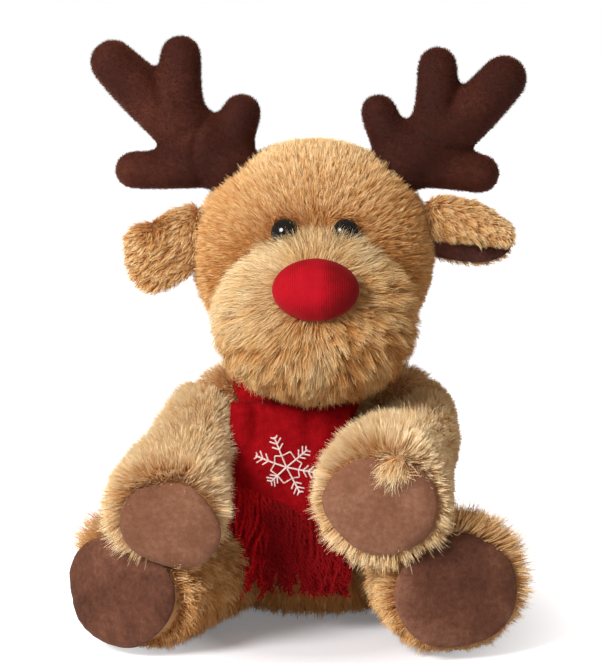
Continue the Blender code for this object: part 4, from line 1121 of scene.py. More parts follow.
def make_eye(side):
    place, outward = eyes[side]
    place = place - outward * eye_sink - Vector((0, 0, eye_drop))
    across = outward.orthogonal().normalized()
    up = outward.cross(across)
    base = place - outward * eye_back
    rings = [ellipse(base, across, up, eye_radius, eye_radius, 40)]
    for degrees in (0, 12, 24, 36, 48, 60, 70, 80):
        turn = math.radians(degrees)
        reach = eye_radius * math.cos(turn)
        rings.append(ellipse(place + outward * eye_depth * math.sin(turn), across, up, reach, reach, 40))
    made = skin("eye_%s_dome" % side_names[side], rings, None, place + outward * eye_depth)
    made.data.shade_smooth()
    show(made, eye_gloss, "head", ("eye_" + side_names[side],))


for side in (-1, 1):
    make_eye(side)


# Body, arms and legs

body_skin = body_form("body_plush", -pile_depth)
gather(body_skin, *[ellipsoid("shoulder", Vector((side * 0.0420, -0.003, 0.1120)),
                              Vector((0.0190, 0.0210, 0.0155)), 40)
                    for side in (-1, 1)])
soften(body_skin, 0.0030, 5)
keep_above(body_skin, ground_gap)


def body_rule(point, normal):
    low = 1 - fade(point.z, 0.003, 0.012)
    top = fade(point.z, 0.112,
               0.122) * (1 - fade(abs(point.x), 0.034, 0.040)) * (1 - fade(point.y, 0.0, 0.014))
    upper = fade(point.z, 0.090, 0.110)
    comb = Vector((normal.x * 0.3 + 0.5 * upper * math.copysign(1, point.x), normal.y * 0.3 - 0.25 * upper,
                   -0.9))
    # Painted shade over the lower body and belly; the shoulders are lighter.
    return {"comb": comb, "cover": (1 - top) * (1 - 0.9 * low * fade(-normal.z, 0.3, 0.7)),
            "pile": 0.95 - 0.35 * low, "shade": 0.16 + 0.62 * upper, "stand": 1.0 - 0.2 * low + 0.22 * upper}


groom(body_skin, body_rule)
grow_pile("body_pile_under", body_skin, "torso", "plush", plush_fibre, 121, density=1.1e6, length=0.0066,
          width=0.00064, stand=0.76, tint_shift=-0.16, tuft_density=6.0e4, tuft_pull=0.35, segments=1)
grow_pile("body_pile", body_skin, "torso", "plush", plush_fibre, 122, density=1.3e6, length=0.0082,
          width=0.00052, stand=0.70, tuft_density=6.0e4, tuft_pull=0.56, segments=1)
drop_attributes(body_skin.data, groom_names)
show(body_skin, plush_backing, "torso", ("body_cover",))


def make_pad(name, points, sizes, half_sizes, shift, look, body, node, seed, puffed):
    """A domed patch of velour on the flat end of a paw or a foot, drawn in along its seam."""
    centre, along, side, up = pad_frame(points, sizes, shift)
    rings = []
    profile = ((-1.50, 0.84), (-0.60, 0.92), (-0.25, 0.97), (0.0, 1.0), (0.22, 0.995), (0.42, 0.96),
               (0.60, 0.88), (0.74, 0.76),
               (0.85, 0.60), (0.93, 0.42), (0.98, 0.22))
    for out_share, reach_share in profile:
        ring = []
        for index in range(64):
            angle = 2 * math.pi * index / 64
            wobble = 1 + 0.022 * math.sin(3 * angle + seed) + 0.014 * math.sin(5 * angle + 2 * seed)
            gathers = 0.5 + 0.5 * math.sin(23 * angle + 2 * math.sin(3 * angle + seed))
            reach = reach_share * wobble
            across = half_sizes[0] * reach * math.cos(angle)
            rise = half_sizes[1] * reach * math.sin(angle)
            dent = 0.0013 * noise.noise(Vector((across, rise, seed * 0.02)) * 60)
            pucker = 0.0005 * gathers * fade(reach_share, 0.80, 0.97)
            out = pad_thickness * puffed * out_share + dent * reach_share - pucker
            ring.append(centre + along * out + side * across + up * rise)
        rings.append(ring)
    made = skin(name, rings, None, centre + along * pad_thickness * puffed)
    made.data.shade_smooth()
    show(made, look, body, (node,))


def limb_rule(points, sizes, pad_half_sizes, shift, others, flow, ruff, swirl=None, ground_shy=False,
              slim=0.0, pale=0.0):
    """Grooms a limb: along it toward its end, opening out round the pad, flat against its neighbours."""
    centre, along, side, up = pad_frame(points, sizes, shift)

    def rule(point, normal):
        offset = point - centre
        depth = offset.dot(along)
        across = offset.dot(side)
        rise = offset.dot(up)
        reach = math.hypot(across / pad_half_sizes[0], rise / pad_half_sizes[1])
        cover = 1.0
        edge = 0.0
        if normal.dot(along) > 0.4 and depth > -0.012:
            cover = fade(reach, 0.92, 0.96)
            edge = fade(reach, 1.0, 1.06) * (1 - fade(reach, 1.12, 1.28))
        outward = (side * across + up * rise).normalized()
        comb = flow + Vector((0.35 * normal.x, 0, 0)) + along * 0.12
        rim = fade(depth, -0.022, -0.005)
        comb = comb * (1 - rim) + outward * rim
        comb -= outward * 0.95 * edge
        pile = 1.0 + (ruff - 1.0) * rim - 0.20 * edge
        pile *= 1 - slim * fade(normal.x, 0.2, 0.8) * fade(point.z, 0.060, 0.085)
        stand = 1.0 + 0.30 * rim + 0.35 * edge
        # Painted light and shade: the pale shift lightens the arms and darkens the legs, the rim is lighter,
        # and the undersides are darkened as painted shade.
        shade = 0.62 + pale + 0.08 * rim - 0.18 * fade(-normal.z, 0.0, 0.6)
        if swirl is not None:
            near = 1 - fade((point - swirl).length, 0.006, 0.030)
            comb = comb * (1 - near) + (point - swirl).normalized() * near * 1.2
            closest = 1 - fade((point - swirl).length, 0.0, 0.012)
            pile += 0.15 * near + 0.35 * closest
            shade += 0.16 * near
            stand += 0.30 * closest
            cover = max(cover, 1 - fade((point - swirl).length, 0.0085, 0.0115))
        for tree, room in others:
            hit = tree.find_nearest(point, room)
            if hit[0] is not None:
                share = fade(hit[3], 0.0, room)
                pile *= 0.35 + 0.65 * share
                stand *= 0.45 + 0.55 * share
                # Painted shade where a neighbour lies close.
                shade -= 0.12 * (1 - share)
        if ground_shy:
            pile *= 1 + (0.25 * fade(outward.z, 0.3, 0.8) - 0.62 * fade(-outward.z, 0.1, 0.6)) * rim
            low = 1 - fade(point.z, 0.001, 0.010)
            pile *= 1 - 0.72 * low
            stand *= 1 - 0.55 * low
            if normal.z < -0.6 and point.z < 0.003:
                cover *= 0.1
            comb = comb * (1 - low * 0.5) + Vector((normal.x, normal.y, 0)) * low
        return {"comb": comb, "cover": cover, "pile": pile, "stand": stand, "shade": shade}

    return rule


leg_skins = {}
arm_skins = {}
body_tree = tree_of(body_skin)
for side in (-1, 1):
    points, sizes = leg_path(side)
    name = side_names[side]
    if side > 0:
        points = [point + Vector((right_leg_outward * index / 3, 0, 0)) for index, point in enumerate(points)]
    made = limb("leg_%s_plush" % name, points, sizes, -pile_depth, True)
    cut(made, body_form("body_room", -pile_depth - skin_gap))
    gather(made, ellipsoid("root", points[0], Vector([leg_root_radius - pile_depth] * 3), 40))
    soften(made, 0.0028, 5)
    keep_above(made, ground_gap)
    leg_skins[side] = made
for side in (-1, 1):
    points, sizes = arm_path(side)
    name = side_names[side]
    if side > 0:
        points = [point - Vector((right_arm_inward * (1 - abs(index - 1) / 2), 0, 0)) if index < 3 else point
                  for index, point in enumerate(points)]
    made = limb("arm_%s_plush" % name, points, sizes, -pile_depth - arm_extra_depth, True)
    leg_points, leg_sizes = leg_path(side)
    cut(made, body_form("body_room", -pile_depth - skin_gap),
        limb("leg_room", leg_points, leg_sizes, 0.0, True))
    gather(made, ellipsoid("root", shoulder(side), Vector([arm_root_radius - pile_depth] * 3), 40))
    soften(made, 0.0028, 5)
    arm_skins[side] = made

leg_trees = {side: tree_of(leg_skins[side]) for side in (-1, 1)}
arm_trees = {side: tree_of(arm_skins[side]) for side in (-1, 1)}
right_points, right_sizes = arm_path(1)
right_pad, right_along = end_place(right_points, right_sizes)
paw_swirl = right_pad + Vector((0.0045, -0.002, 0.0220))

for side in (-1, 1):
    name = side_names[side]
    points, sizes = leg_path(side)
    # The last value darkens each leg, the left more: painted shade.
    groom(leg_skins[side], limb_rule(points, sizes, sole_half_sizes[side], sole_shifts[side],
                                     [(arm_trees[side], limb_room), (body_tree, body_room)],
                                     Vector((side * 0.55, 0, -0.55)), 1.45, None, True, 0.0,
                                     -0.22 if side < 0 else -0.06))
    grow_pile("leg_%s_pile_under" % name, leg_skins[side], "leg_" + name, "plush", plush_fibre, 131 + side,
              density=1.6e6, length=0.0066, width=0.00060, stand=0.78, tint_shift=-0.14, tuft_density=6.0e4,
              tuft_pull=0.30, segments=1)
    grow_pile("leg_%s_pile" % name, leg_skins[side], "leg_" + name, "plush", plush_fibre, 136 + side,
              density=1.9e6, length=0.0086, width=0.00048, stand=0.72, tuft_density=5.5e4, tuft_pull=0.58,
              segments=1)
    points, sizes = arm_path(side)
    swirl = paw_swirl if side > 0 else None
    # The last value lightens the arms: painted light.
    groom(arm_skins[side], limb_rule(points, sizes, paw_pad_half_sizes[side], paw_pad_shifts[side],
                                     [(leg_trees[side], limb_room), (body_tree, body_room)],
                                     Vector((-0.55, -0.35, 0.10 - 0.25 * (side > 0))), 1.10, swirl, False,
                                     0.50 if side > 0 else 0.0, 0.30))
    grow_pile("arm_%s_pile_under" % name, arm_skins[side], "arm_" + name, "plush", plush_fibre, 141 + side,
              density=2.0e6, length=0.0066, width=0.00058, stand=0.86, tint_shift=-0.06, tuft_density=6.0e4,
              tuft_pull=0.30, segments=1)
    grow_pile("arm_%s_pile" % name, arm_skins[side], "arm_" + name, "plush", plush_fibre, 146 + side,
              density=2.4e6, length=0.0082, width=0.00044, stand=0.84, tint_shift=0.10, tuft_density=6.0e4,
              tuft_pull=0.50, wander=0.50, segments=1)
for side in (-1, 1):
    name = side_names[side]
    drop_attributes(leg_skins[side].data, groom_names)
    drop_attributes(arm_skins[side].data, groom_names)
    show(leg_skins[side], plush_backing, "leg_" + name, ("leg_%s_cover" % name,))
    show(arm_skins[side], plush_backing, "arm_" + name, ("arm_%s_cover" % name,))
    make_pad("sole_%s_pad" % name, *leg_path(side), sole_half_sizes[side], sole_shifts[side], sole_velour,
             "leg_" + name, "sole_" + name, 1.7 + side, 1.5)
    make_pad("paw_%s_pad" % name, *arm_path(side), paw_pad_half_sizes[side], paw_pad_shifts[side], pad_velour,
             "arm_" + name, "paw_pad_" + name, 4.1 + side, 1.6)


def tuft_rule(point, normal):
    return {"comb": (point - tuft_middle).normalized() * 0.55 + Vector((-0.35, -0.25, -1.0)), "shade": 0.92,
            "pile": 0.75 + 0.35 * fade(tuft_middle.z - point.z, -0.003, 0.003), "stand": 1.0}


tuft_middle = paw_swirl + right_along * 0.0012 + Vector((0.001, 0, -0.0015))
tuft_skin = ellipsoid("paw_tuft_plush", tuft_middle, Vector((0.0052, 0.0028, 0.0034)), 24)
groom(tuft_skin, tuft_rule)
grow_pile("paw_tuft_pile", tuft_skin, "arm_right", "plush", plush_fibre, 149, density=5.0e6, length=0.0112,
          width=0.00042, stand=0.34, tuft_density=1.6e5, tuft_pull=0.75, wander=0.35, tuft_lean=0.6)
drop_attributes(tuft_skin.data, groom_names)
show(tuft_skin, plush_backing, "arm_right")


# Antlers

def make_antler(side):
    root = antler_root(side)
    made = ellipsoid("antler_%s_velour" % side_names[side], root, Vector([antler_root_radius] * 3), 28)
    for tine in antler_tines[side]:
        points = [root + Vector((side * out, 0, up)) * antler_reach for out, up, thick in tine]
        sizes = [thick * antler_reach for out, up, thick in tine]
        gather(made, limb("tine", points, sizes, 0, False, 24, 5, Vector((0, 1, 0))))
    soften(made, 0.0018, 12)
    puff(made, 3.0, 12, 0.0014)
    soften(made, 0.0017, 3)
    draw_in(made, antler_creases[side], root.y)
    return made


def draw_in(thing, lines, middle):
    """Sinks both faces of a piece toward its middle plane along lines."""
    for vertex in thing.data.vertices:
        place = Vector((vertex.co.x, vertex.co.z))
        sunk = 0.0
        for line, depth, width in lines:
            corners = [Vector(corner) for corner in line]
            for start, end in zip(corners, corners[1:]):
                share = max(0.0, min(1.0, (place - start).dot(end - start) / (end - start).length_squared))
                gap = (place - start.lerp(end, share)).length
                sunk = max(sunk, depth * math.exp(-(gap / width) ** 2))
        offset = vertex.co.y - middle
        vertex.co.y -= math.copysign(min(sunk, abs(offset) * 0.3), offset)


def nap_rule(point, normal):
    return {"comb": Vector((0.35, -0.1, 0.9)), "cover": 1.0, "pile": 1.0, "stand": 1.0,
            "shade": 0.5 + 0.9 * noise.noise(point * 45)}


for side in (-1, 1):
    name = side_names[side]
    antler = make_antler(side)
    groom(antler, nap_rule)
    grow_pile("antler_%s_nap" % name, antler, "antler_" + name, "antler_velour", antler_nap, 151 + side,
              density=2.0e6, length=0.0013, width=0.00024, stand=0.85, tuft_density=1.5e5, tuft_pull=0.25,
              wander=0.8,
              segments=1)
    drop_attributes(antler.data, groom_names)
    show(antler, antler_velour, "antler_" + name, ("antler_%s_cover" % name,))


# Ears

def ear_strip(row, side, radius_share, inset):
    along, fold_share, rise_share, front_share, back_share = row
    full = ear_fold_radius * fold_share
    radius = full * radius_share - inset
    root = ear_root(side)
    top = root.z + ear_drop * rise_share
    x = root.x + side * ear_length * ear_reach[side] * along
    points = []
    front_end = top - full - ear_drop * front_share
    back_end = top - full - ear_drop * back_share
    for step in range(6):
        points.append((-radius, front_end + (top - full - front_end) * step / 6))
    for step in range(13):
        turn = math.pi - math.pi * step / 12
        points.append((radius * math.cos(turn), top - full + radius * math.sin(turn)))
    for step in range(1, 7):
        points.append((radius, top - full + (back_end - top + full) * step / 6))
    return [Vector((x, root.y + y, z)) for y, z in points]


def ear_rows_smooth(side):
    rows = ear_rows[side]
    points, values = smooth_path([Vector(row[:3]) for row in rows], [row[3] for row in rows], 4)
    others = smooth_path([Vector((row[0], row[4], 0)) for row in rows], [0] * len(rows), 4)[0]
    return [(point.x, point.y, point.z, front, other.y) for point, front,
            other in zip(points, values, others)]


def make_ear(side):
    name = side_names[side]
    rows = [row for row in ear_rows_smooth(side) if row[0] > -0.42]
    outer = [ear_strip(row, side, 1.0, ear_pile_depth) for row in rows]
    inner = [ear_strip(row, side, 0.42, 0.0) for row in rows]
    back = skin("ear_%s_plush" % name, [a + b[::-1] for a, b in zip(outer, inner)])
    soften(back, 0.0014, 6)
    lining_out = [ear_strip(row, side, 0.40, 0.0) for row in rows]
    lining_in = [ear_strip(row, side, 0.22, 0.0) for row in rows]
    lining = skin("ear_%s_lining_velour" % name, [a + b[::-1] for a, b in zip(lining_out, lining_in)])
    lining.data.shade_smooth()
    root = ear_root(side)

    def rule(point, normal):
        out = (point.x - root.x) * side / ear_length
        facing = normal.y * (point.y - root.y)
        cover = 1.0
        if facing < 0 and abs(normal.y) > 0.4:
            cover = 0.0
        comb = Vector((side * 0.9, 0, -0.7)) + normal * 0.1
        shade = 0.54 + 0.20 * fade(out, 0.3, 1.0)
        if side < 0:
            hollow = point - Vector((root.x - 0.0150, point.y, root.z + 0.0010))
            near = 1 - fade(hollow.length, 0.002, 0.0150)
            comb = comb * (1 - near) + hollow.normalized() * near
            # Painted shade in the hollow of the left ear.
            shade -= 0.40 * near
        return {"comb": comb, "cover": cover, "pile": 0.66 - 0.22 * fade(out, 0.5, 0.95), "stand": 1.0,
                "shade": shade}

    groom(back, rule)
    grow_pile("ear_%s_pile_under" % name, back, "ear_" + name, "plush", plush_fibre, 161 + side,
              density=2.0e6,
              length=0.0072, width=0.00058, stand=0.70, tint_shift=-0.14, tuft_pull=0.4, segments=1)
    grow_pile("ear_%s_pile" % name, back, "ear_" + name, "plush", plush_fibre, 166 + side, density=2.8e6,
              length=0.0092, width=0.00046, stand=0.60, tuft_density=9.0e4, tuft_pull=0.6, segments=2)
    drop_attributes(back.data, groom_names)
    show(back, plush_backing, "ear_" + name, ("ear_%s_back" % name,))
    show(lining, lining_velour, "ear_" + name, ("ear_%s_lining" % name,))


for side in (-1, 1):
    make_ear(side)


# Tail

tail_low, tail_high = (Vector(corner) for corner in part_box("tail_cover"))
tail_middle = (tail_low + tail_high) / 2 + Vector((0, 0.003, 0.0))
tail_skin = ellipsoid("tail_plush", tail_middle, (tail_high - tail_low) / 2 - Vector([tail_pile_depth] * 3),
                      32)
tail_skin.data.shade_smooth()
tail_start = Vector((0, tail_low.y, 0.030))


def tail_rule(point, normal):
    return {"comb": (point - tail_start).normalized() + Vector((0, 0, 0.2)), "pile": 0.85, "shade": 0.45}


groom(tail_skin, tail_rule)
grow_pile("tail_pile", tail_skin, "tail", "plush", plush_fibre, 171, density=2.2e6, length=0.0095,
          width=0.00050,
          stand=0.55, tuft_density=6.0e4, tuft_pull=0.6)
drop_attributes(tail_skin.data, groom_names)
show(tail_skin, plush_backing, "tail", ("tail_cover",))


# Scarf: a folded loop round the neck, and two tails that hang from it

def scarf_forward(across, height, layer):
    """How far in front of the body the hanging cloth lies, with its soft folds."""
    down = max(0.0, tail_hang_height - height) / tail_hang_height
    forward = tail_hang_forward + tail_lean * down ** tail_lean_power
    forward = forward - tail_side_curl * (across / tail_half_width) ** 2 + layer
    top = fade(height, 0.080, 0.108)
    for place, width, depth in ((-0.0385, 0.0045, 0.0020), (-0.0295, 0.0042, -0.0034),
                                (-0.0180, 0.0060, 0.0012),
                                (-0.0030, 0.0048, -0.0026), (0.0050, 0.0050, 0.0014)):
        forward += top * depth * math.exp(-((across - place) / width) ** 2)
    ripple = noise.noise(Vector((across * 62, height * 24, layer * 900)))
    return forward + 0.0011 * ripple


def cloth_mesh(name, columns, rows, place, thickness):
    """A sheet of cloth with a front, a back and a closed rim, over a grid of places."""
    grid = [[place(column / columns, row / rows) for row in range(rows + 1)] for column in range(columns + 1)]
    points = []
    for column in range(columns + 1):
        for row in range(rows + 1):
            ahead = grid[min(column + 1, columns)][row] - grid[max(column - 1, 0)][row]
            along = grid[column][min(row + 1, rows)] - grid[column][max(row - 1, 0)]
            normal = along.cross(ahead).normalized()
            points.append((grid[column][row] + normal * thickness / 2,
                           grid[column][row] - normal * thickness / 2))
    front = [point for point, other in points]
    back = [other for point, other in points]
    count = len(points)
    faces = []

    def number(column, row):
        return column * (rows + 1) + row

    for column in range(columns):
        for row in range(rows):
            square = (number(column, row), number(column, row + 1), number(column + 1, row + 1),
                      number(column + 1, row))
            faces.append(square)
            faces.append(tuple(count + index for index in reversed(square)))
    rim = [number(column, 0) for column in range(columns)] + [number(columns, row) for row in range(rows)]
    rim += [number(column, rows) for column in range(columns, 0, -1)] + [number(0, row)
                                                                         for row in range(rows, 0, -1)]
    for index, low in enumerate(rim):
        high = rim[(index + 1) % len(rim)]
        faces.append((low, high, count + high, count + low))
    return mesh_object(name, front + back, faces)


def make_scarf_tail(name, left, right, hems, layer, body, node, seed):
    """A tail that comes over the top of the loop and hangs down to its hem."""
    wrap = 0.16
    roll = 0.0042
    top = tail_roll_height - roll

    def place(across_share, down_share):
        wobble = 0.0007 * noise.noise(Vector((down_share * 6, across_share * 2, seed)))
        across = left + (right - left) * across_share + wobble
        hem = hems[0] + (hems[1]
                         - hems[0]) * across_share + 0.0008 * noise.noise(Vector((across * 120, 0, seed)))
        if down_share < wrap:
            turn = math.radians(150) * (1 - down_share / wrap)
            forward = scarf_forward(across, top, layer) - roll * (1 - math.cos(turn))
            return Vector((across, -forward, top + roll * math.sin(turn)))
        height = top + (hem - top) * (down_share - wrap) / (1 - wrap)
        return Vector((across, -scarf_forward(across, height, layer), height))

    made = cloth_mesh(name, 72, 64, place, scarf_cloth_thickness)
    return show(made, scarf_wool, body, (node,))


class Yarns:
    """Twisted yarns gathered into one mesh."""

    def __init__(self):
        self.points = []
        self.faces = []

    def tube(self, path, radii, sides=5):
        start = len(self.points)
        for index, (point, radius) in enumerate(zip(path, radii)):
            along = (path[min(index + 1, len(path) - 1)] - path[max(index - 1, 0)]).normalized()
            side = along.cross(Vector((0.12, 1, 0.07))).normalized()
            self.points += ellipse(point, side, side.cross(along), radius, radius, sides)
        for row in range(len(path) - 1):
            for index in range(sides):
                after = (index + 1) % sides
                low = start + row * sides
                self.faces.append((low + index, low + after, low + sides + after, low + sides + index))
        self.faces.append(tuple(start + index for index in reversed(range(sides))))
        last = start + (len(path) - 1) * sides
        self.faces.append(tuple(last + index for index in range(sides)))

    def finish(self, name):
        return mesh_object(name, self.points, self.faces)


def make_fringe(name, left, right, hems, lengths, count, layer, flare, body, node, seed):
    """Bunches of two-ply yarn below a hem, each frayed at its end."""
    yarns = Yarns()
    steps = 22
    for index in range(count):
        share = (index + 0.5) / count
        spot = Vector((index * 1.7, seed, 0.3))
        across = left + (right - left) * share + 0.0006 * noise.noise(spot)
        bunch = left + (right - left) * (math.floor(share * count / yarns_in_bunch) * yarns_in_bunch
                                         + yarns_in_bunch / 2) / count
        hem = hems[0] + (hems[1] - hems[0]) * share
        length = (lengths[0] + (lengths[1] - lengths[0]) * share) * (1 + 0.34 * noise.noise(spot * 3.1))
        length *= 1 - 0.16 * math.sin(math.pi * min(1.0, share * 1.4)) ** 2
        sway = (bunch - across) * 0.85 + 0.0060 * noise.noise(spot * 0.37 + Vector((0, 0, 7)))
        sway -= flare * (1 - share) ** 3
        lift = 0.0030 * noise.noise(spot * 1.9) + 0.0010 + 0.0040 * (1 - share) ** 4
        axis = []
        for step in range(steps + 1):
            t = step / steps
            height = hem + yarn_above_hem - (length + yarn_above_hem) * t
            wave = 0.0014 * math.sin(9.0 * t + 2.1
                                     * index) * t + 0.0026 * noise.noise(spot * 0.8 + Vector((0, 0, t * 2.4)))
            across_now = across + sway * t ** 1.4 + wave
            forward = scarf_forward(across_now, max(height, 0.012),
                                    layer) + lift * math.sin(math.pi * min(1, t * 1.2))
            axis.append(Vector((across_now, -forward, max(height, yarn_lowest))))
        turns = length / yarn_twist_length
        for ply in range(2):
            path = []
            radii = []
            for step, point in enumerate(axis):
                t = step / steps
                fray = yarn_ply_offset + 0.0016 * max(0.0, t - 0.78) ** 1.2 * 3
                angle = 2 * math.pi * turns * t + math.pi * ply + index
                path.append(point + Vector((math.cos(angle), math.sin(angle), 0)) * fray)
                radii.append(yarn_ply_radius * (1 - 0.55 * max(0.0, t - 0.8) * 4))
            yarns.tube(path, radii)
    return show(yarns.finish(name), fringe_yarn, body, (node,))


def fuzz_rule(point, normal):
    return {"comb": normal * 0.2 + Vector((0.3 * noise.noise(point * 90), 0, -0.6)), "shade": 0.5}


def add_fuzz(name, ground, body, seed, density, length):
    groom(ground, fuzz_rule)
    made = grow_pile(name, ground, body, "red_cloth", red_fibre, seed, density=density, length=length,
                     width=0.00016,
                     stand=0.72, tuft_density=2.0e5, tuft_pull=0.25, wander=1.2, segments=2)
    drop_attributes(ground.data, groom_names)
    return made


def folded_section(half_width, spacing, thickness):
    """The outline of cloth folded in three: across its width, and through its layers."""
    line = []
    for layer in (-1, 0, 1):
        ends = (-half_width, half_width) if layer != 0 else (half_width, -half_width)
        for step in range(9):
            line.append((ends[0] + (ends[1] - ends[0]) * step / 8, layer * spacing))
        if layer < 1:
            outward = 1 if layer < 0 else -1
            for step in range(1, 6):
                turn = math.pi * step / 6 - math.pi / 2
                line.append((outward * (half_width + math.cos(turn) * spacing / 2),
                             (layer + 0.5) * spacing + math.sin(turn) * spacing / 2))
    one_side, other_side = [], []
    for index, (w, h) in enumerate(line):
        before = line[max(index - 1, 0)]
        after = line[min(index + 1, len(line) - 1)]
        slope = Vector((after[0] - before[0], after[1] - before[1])).normalized()
        one_side.append((w - slope.y * thickness / 2, h + slope.x * thickness / 2))
        other_side.append((w + slope.y * thickness / 2, h - slope.x * thickness / 2))
    return one_side + other_side[::-1]


def make_scarf_loop():
    stations = 120
    rows = []
    for station in range(stations):
        turn = 2 * math.pi * station / stations
        ahead = (1 + math.cos(turn)) / 2
        front = ahead ** (loop_front_sharpness * (1 + 3.0 * fade(math.sin(turn), 0.0, 0.5)))
        rear = (1 - ahead) ** 2
        radius = loop_side_radius + (loop_front_radius - loop_side_radius) * front
        height = loop_side_height + (loop_front_height - loop_side_height) * front
        height += (loop_back_height - loop_side_height) * rear
        half_width = loop_roll_half_width + (loop_front_half_width - loop_roll_half_width) * front
        lean = math.radians(loop_lean_degrees) * (1 - front)
        outward = Vector((math.sin(turn), -math.cos(turn), 0))
        wide = outward * math.sin(lean) - Vector((0, 0, 1)) * math.cos(lean)
        thick = outward * math.cos(lean) + Vector((0, 0, 1)) * math.sin(lean)
        centre = outward * radius + Vector((0, 0, height))
        row = []
        for across, depth in folded_section(half_width, loop_layer_spacing, loop_cloth_thickness):
            ripple = 0.0006 * math.sin(across * 900 + 3 * turn) + 0.0007 * noise.noise(
                Vector((math.cos(turn) * 2, math.sin(turn) * 2, across * 160)))
            row.append(centre + wide * across + thick * (depth + ripple))
        rows.append(row)
    points = [point for row in rows for point in row]
    count = len(rows[0])
    faces = []
    for station in range(stations):
        beside = (station + 1) % stations
        for index in range(count):
            after = (index + 1) % count
            faces.append((station * count + index, station * count + after, beside * count + after,
                          beside * count + index))
    made = mesh_object("scarf_loop_cloth", points, faces)
    return show(made, scarf_wool, "torso", ("scarf_loop",))


def make_snowflake(layer):
    """Satin stitches on the top tail: six arms with two pairs of branches, round a small star."""
    yarns = Yarns()
    middle = snowflake_middle

    def on_cloth(right, up):
        across = middle[0] + right
        height = middle[1] + up
        return Vector((across, -scarf_forward(across, height, layer) - scarf_cloth_thickness / 2 - 0.0003,
                       height))

    def stitch(start, end, radius=0.00054):
        steps = max(4, int((Vector(end) - Vector(start)).length / 0.0006))
        path = []
        radii = []
        for step in range(steps + 1):
            t = step / steps
            path.append(on_cloth(start[0] + (end[0] - start[0]) * t, start[1] + (end[1] - start[1]) * t))
            radii.append(radius * (0.86 + 0.14 * math.cos(2 * math.pi * step / 2.4)))
        yarns.tube(path, radii, 6)

    tips = [Vector(tip) for tip in snowflake_tips]
    for index, tip in enumerate(tips):
        across = Vector((-tip.y, tip.x)) * (snowflake_reach / tip.length)
        stitch((0, 0), tip)
        for share, reach in ((0.58, 0.20), (0.76, 0.21), (0.93, 0.12)):
            root = tip * share
            for hand in (-1, 1):
                end = root + tip.normalized() * snowflake_reach * reach * 0.8 + across * hand * reach
                stitch(root, end, 0.00048)
        after = tips[(index + 1) % len(tips)]
        between = (tip.normalized() + after.normalized()).normalized() * star_reach
        for side_tip in (tip, after):
            stitch(side_tip * (star_root_reach / side_tip.length), between, 0.00042)
    return show(yarns.finish("snowflake_stitches"), snow_thread, "scarf_tails",
                ("snowflake",))


scarf_loop = make_scarf_loop()
top_tail = make_scarf_tail("scarf_top_tail_cloth", -0.0430, 0.0180, top_hems, top_layer, "scarf_tails",
                           "scarf_top_tail", 3.0)
under_tail = make_scarf_tail("scarf_under_tail_cloth", -0.0395, 0.0175, under_hems, under_layer,
                             "scarf_tails",
                             "scarf_under_tail", 9.0)
top_fringe = make_fringe("scarf_top_fringe_yarn", -0.0455, 0.0170, top_hems, (0.040, 0.026), 56, top_layer,
                         0.009,
                         "scarf_tails", "scarf_top_fringe", 1.0)
under_fringe = make_fringe("scarf_under_fringe_yarn", -0.0385, 0.0168, under_hems, (0.030, 0.021), 44,
                           under_layer, 0.009,
                           "scarf_tails", "scarf_under_fringe", 6.0)
snowflake = make_snowflake(top_layer)
fuzz = [add_fuzz("scarf_loop_fuzz", scarf_loop, "torso", 181, 0.5e6, 0.0020),
        add_fuzz("scarf_top_tail_fuzz", top_tail, "scarf_tails", 182, 1.6e6, 0.0019),
        add_fuzz("scarf_under_tail_fuzz", under_tail, "scarf_tails", 183, 1.0e6, 0.0019),
        add_fuzz("scarf_top_fringe_fuzz", top_fringe, "scarf_tails", 184, 1.0e6, 0.0030),
        add_fuzz("scarf_under_fringe_fuzz", under_fringe, "scarf_tails", 185, 1.2e6, 0.0030)]
fuzz[0]
fuzz[1]
fuzz[3]
fuzz[2]
fuzz[4]


# The solids that stay as they are, under the covers
for node_name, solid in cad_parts.items():
    finish = None
    if node_name.endswith("_stuffing"):
        finish = plain["filling_fibre"]
    elif node_name == "bead_bag":
        finish = plain["bead_bag_cloth"]
    elif "washer" in node_name:
        finish = plain["washer_plastic_white"]
    elif node_name in ("neck_seam", "closing_stitch"):
        finish = tan_thread
    if finish is not None:
        solid.data.materials.clear()
        solid.data.materials.append(finish)


# Floor, light and camera

def make_stage():
    mesh = bpy.data.meshes.new("floor")
    reach = 4.0
    mesh.from_pydata([(-reach, -reach, 0), (reach, -reach, 0), (reach, reach, 0), (-reach, reach, 0)], [],
                     [(0, 1, 2, 3)])
    floor = new_object("floor", mesh)
    made = bpy.data.materials.new("floor_white")
    made.use_nodes = True
    tree = made.node_tree
    tree.nodes.clear()
    net = Net(tree)
    rays = net.node("ShaderNodeLightPath")
    seen = net.maths("MINIMUM", rays["Is Camera Ray"] + rays["Is Glossy Ray"] + rays["Is Transmission Ray"],
                     1.0)
    matte = net.node("ShaderNodeBsdfDiffuse", None, Color=colour((0.76, 0.78, 0.84)))
    spot = net.vector_maths("LENGTH", (object_place(net) + (0.0, 0.03, 0.0)) * (1.0, 0.8, 0.0),
                            output="Value")
    glow = net.map_range(spot, 0.060, 0.150, 0.16, 1.0)
    lit = net.node("ShaderNodeEmission", None, Color=colour((0.98, 0.985, 1.0)), Strength=glow)
    both = net.node("ShaderNodeAddShader")
    net.feed(both.node.inputs[0], matte)
    net.feed(both.node.inputs[1], lit)
    choice = net.node("ShaderNodeMixShader", None, Fac=seen)
    net.feed(choice.node.inputs[1], matte)
    net.feed(choice.node.inputs[2], both)
    out = net.node("ShaderNodeOutputMaterial")
    net.feed(out.node.inputs["Surface"], choice)
    mesh.materials.append(made)


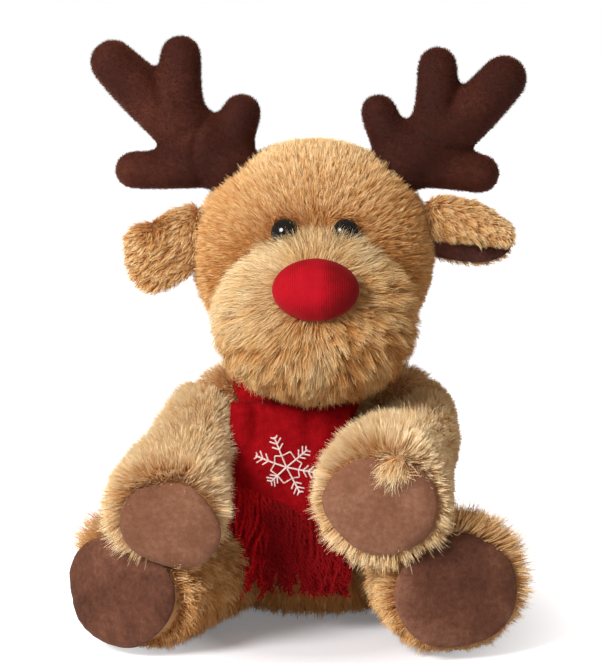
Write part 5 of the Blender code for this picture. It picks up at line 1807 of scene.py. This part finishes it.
def make_world():
    """White behind the deer, and a softer white that lights it from all round."""
    world = bpy.data.worlds.new("studio")
    world.use_nodes = True
    tree = world.node_tree
    tree.nodes.clear()
    net = Net(tree)
    rays = net.node("ShaderNodeLightPath")
    seen = net.maths("MINIMUM", rays["Is Camera Ray"] + rays["Is Transmission Ray"], 1.0)
    soft = net.node("ShaderNodeBackground", None, Color=colour((1.0, 0.86, 0.72)), Strength=0.30)
    white = net.node("ShaderNodeBackground", None, Color=colour((1, 1, 1)), Strength=1.0)
    choice = net.node("ShaderNodeMixShader", None, Fac=seen)
    net.feed(choice.node.inputs[1], soft)
    net.feed(choice.node.inputs[2], white)
    out = net.node("ShaderNodeOutputWorld")
    net.feed(out.node.inputs["Surface"], choice)
    bpy.context.scene.world = world


def make_light(name, place, target, size, power, tone=(1, 1, 1)):
    lamp = bpy.data.lights.new(name, "AREA")
    lamp.shape = "DISK"
    lamp.size = size
    lamp.energy = power
    lamp.color = tone
    made = bpy.data.objects.new(name, lamp)
    bpy.context.scene.collection.objects.link(made)
    made.location = place
    made.rotation_euler = (Vector(target) - Vector(place)).to_track_quat("-Z", "Y").to_euler()


def make_camera():
    target = Vector((-0.0072, 0, 0.1478))
    distance = 1.4
    elevation = math.radians(8)
    metres_per_pixel = 0.00053
    image_width = 602
    sensor = 36.0
    lens = bpy.data.cameras.new("photo_camera")
    lens.sensor_fit = "HORIZONTAL"
    lens.sensor_width = sensor
    lens.lens = sensor * distance / metres_per_pixel / image_width
    made = bpy.data.objects.new("photo_camera", lens)
    bpy.context.scene.collection.objects.link(made)
    made.location = target + Vector((0, -math.cos(elevation), math.sin(elevation))) * distance
    made.rotation_euler = (target - made.location).to_track_quat("-Z", "Y").to_euler()
    bpy.context.scene.camera = made


make_stage()
make_world()
make_light("key_softbox", (-0.80, -1.05, 0.92), (0, 0, 0.13), 0.60, 28.5, (1.0, 0.97, 0.93))
make_light("fill_softbox", (0.35, -1.3, 0.25), (0, 0, 0.13), 0.8, 1.5, (1.0, 0.90, 0.78))
make_camera()
bpy.context.scene.view_settings.view_transform = "Standard"
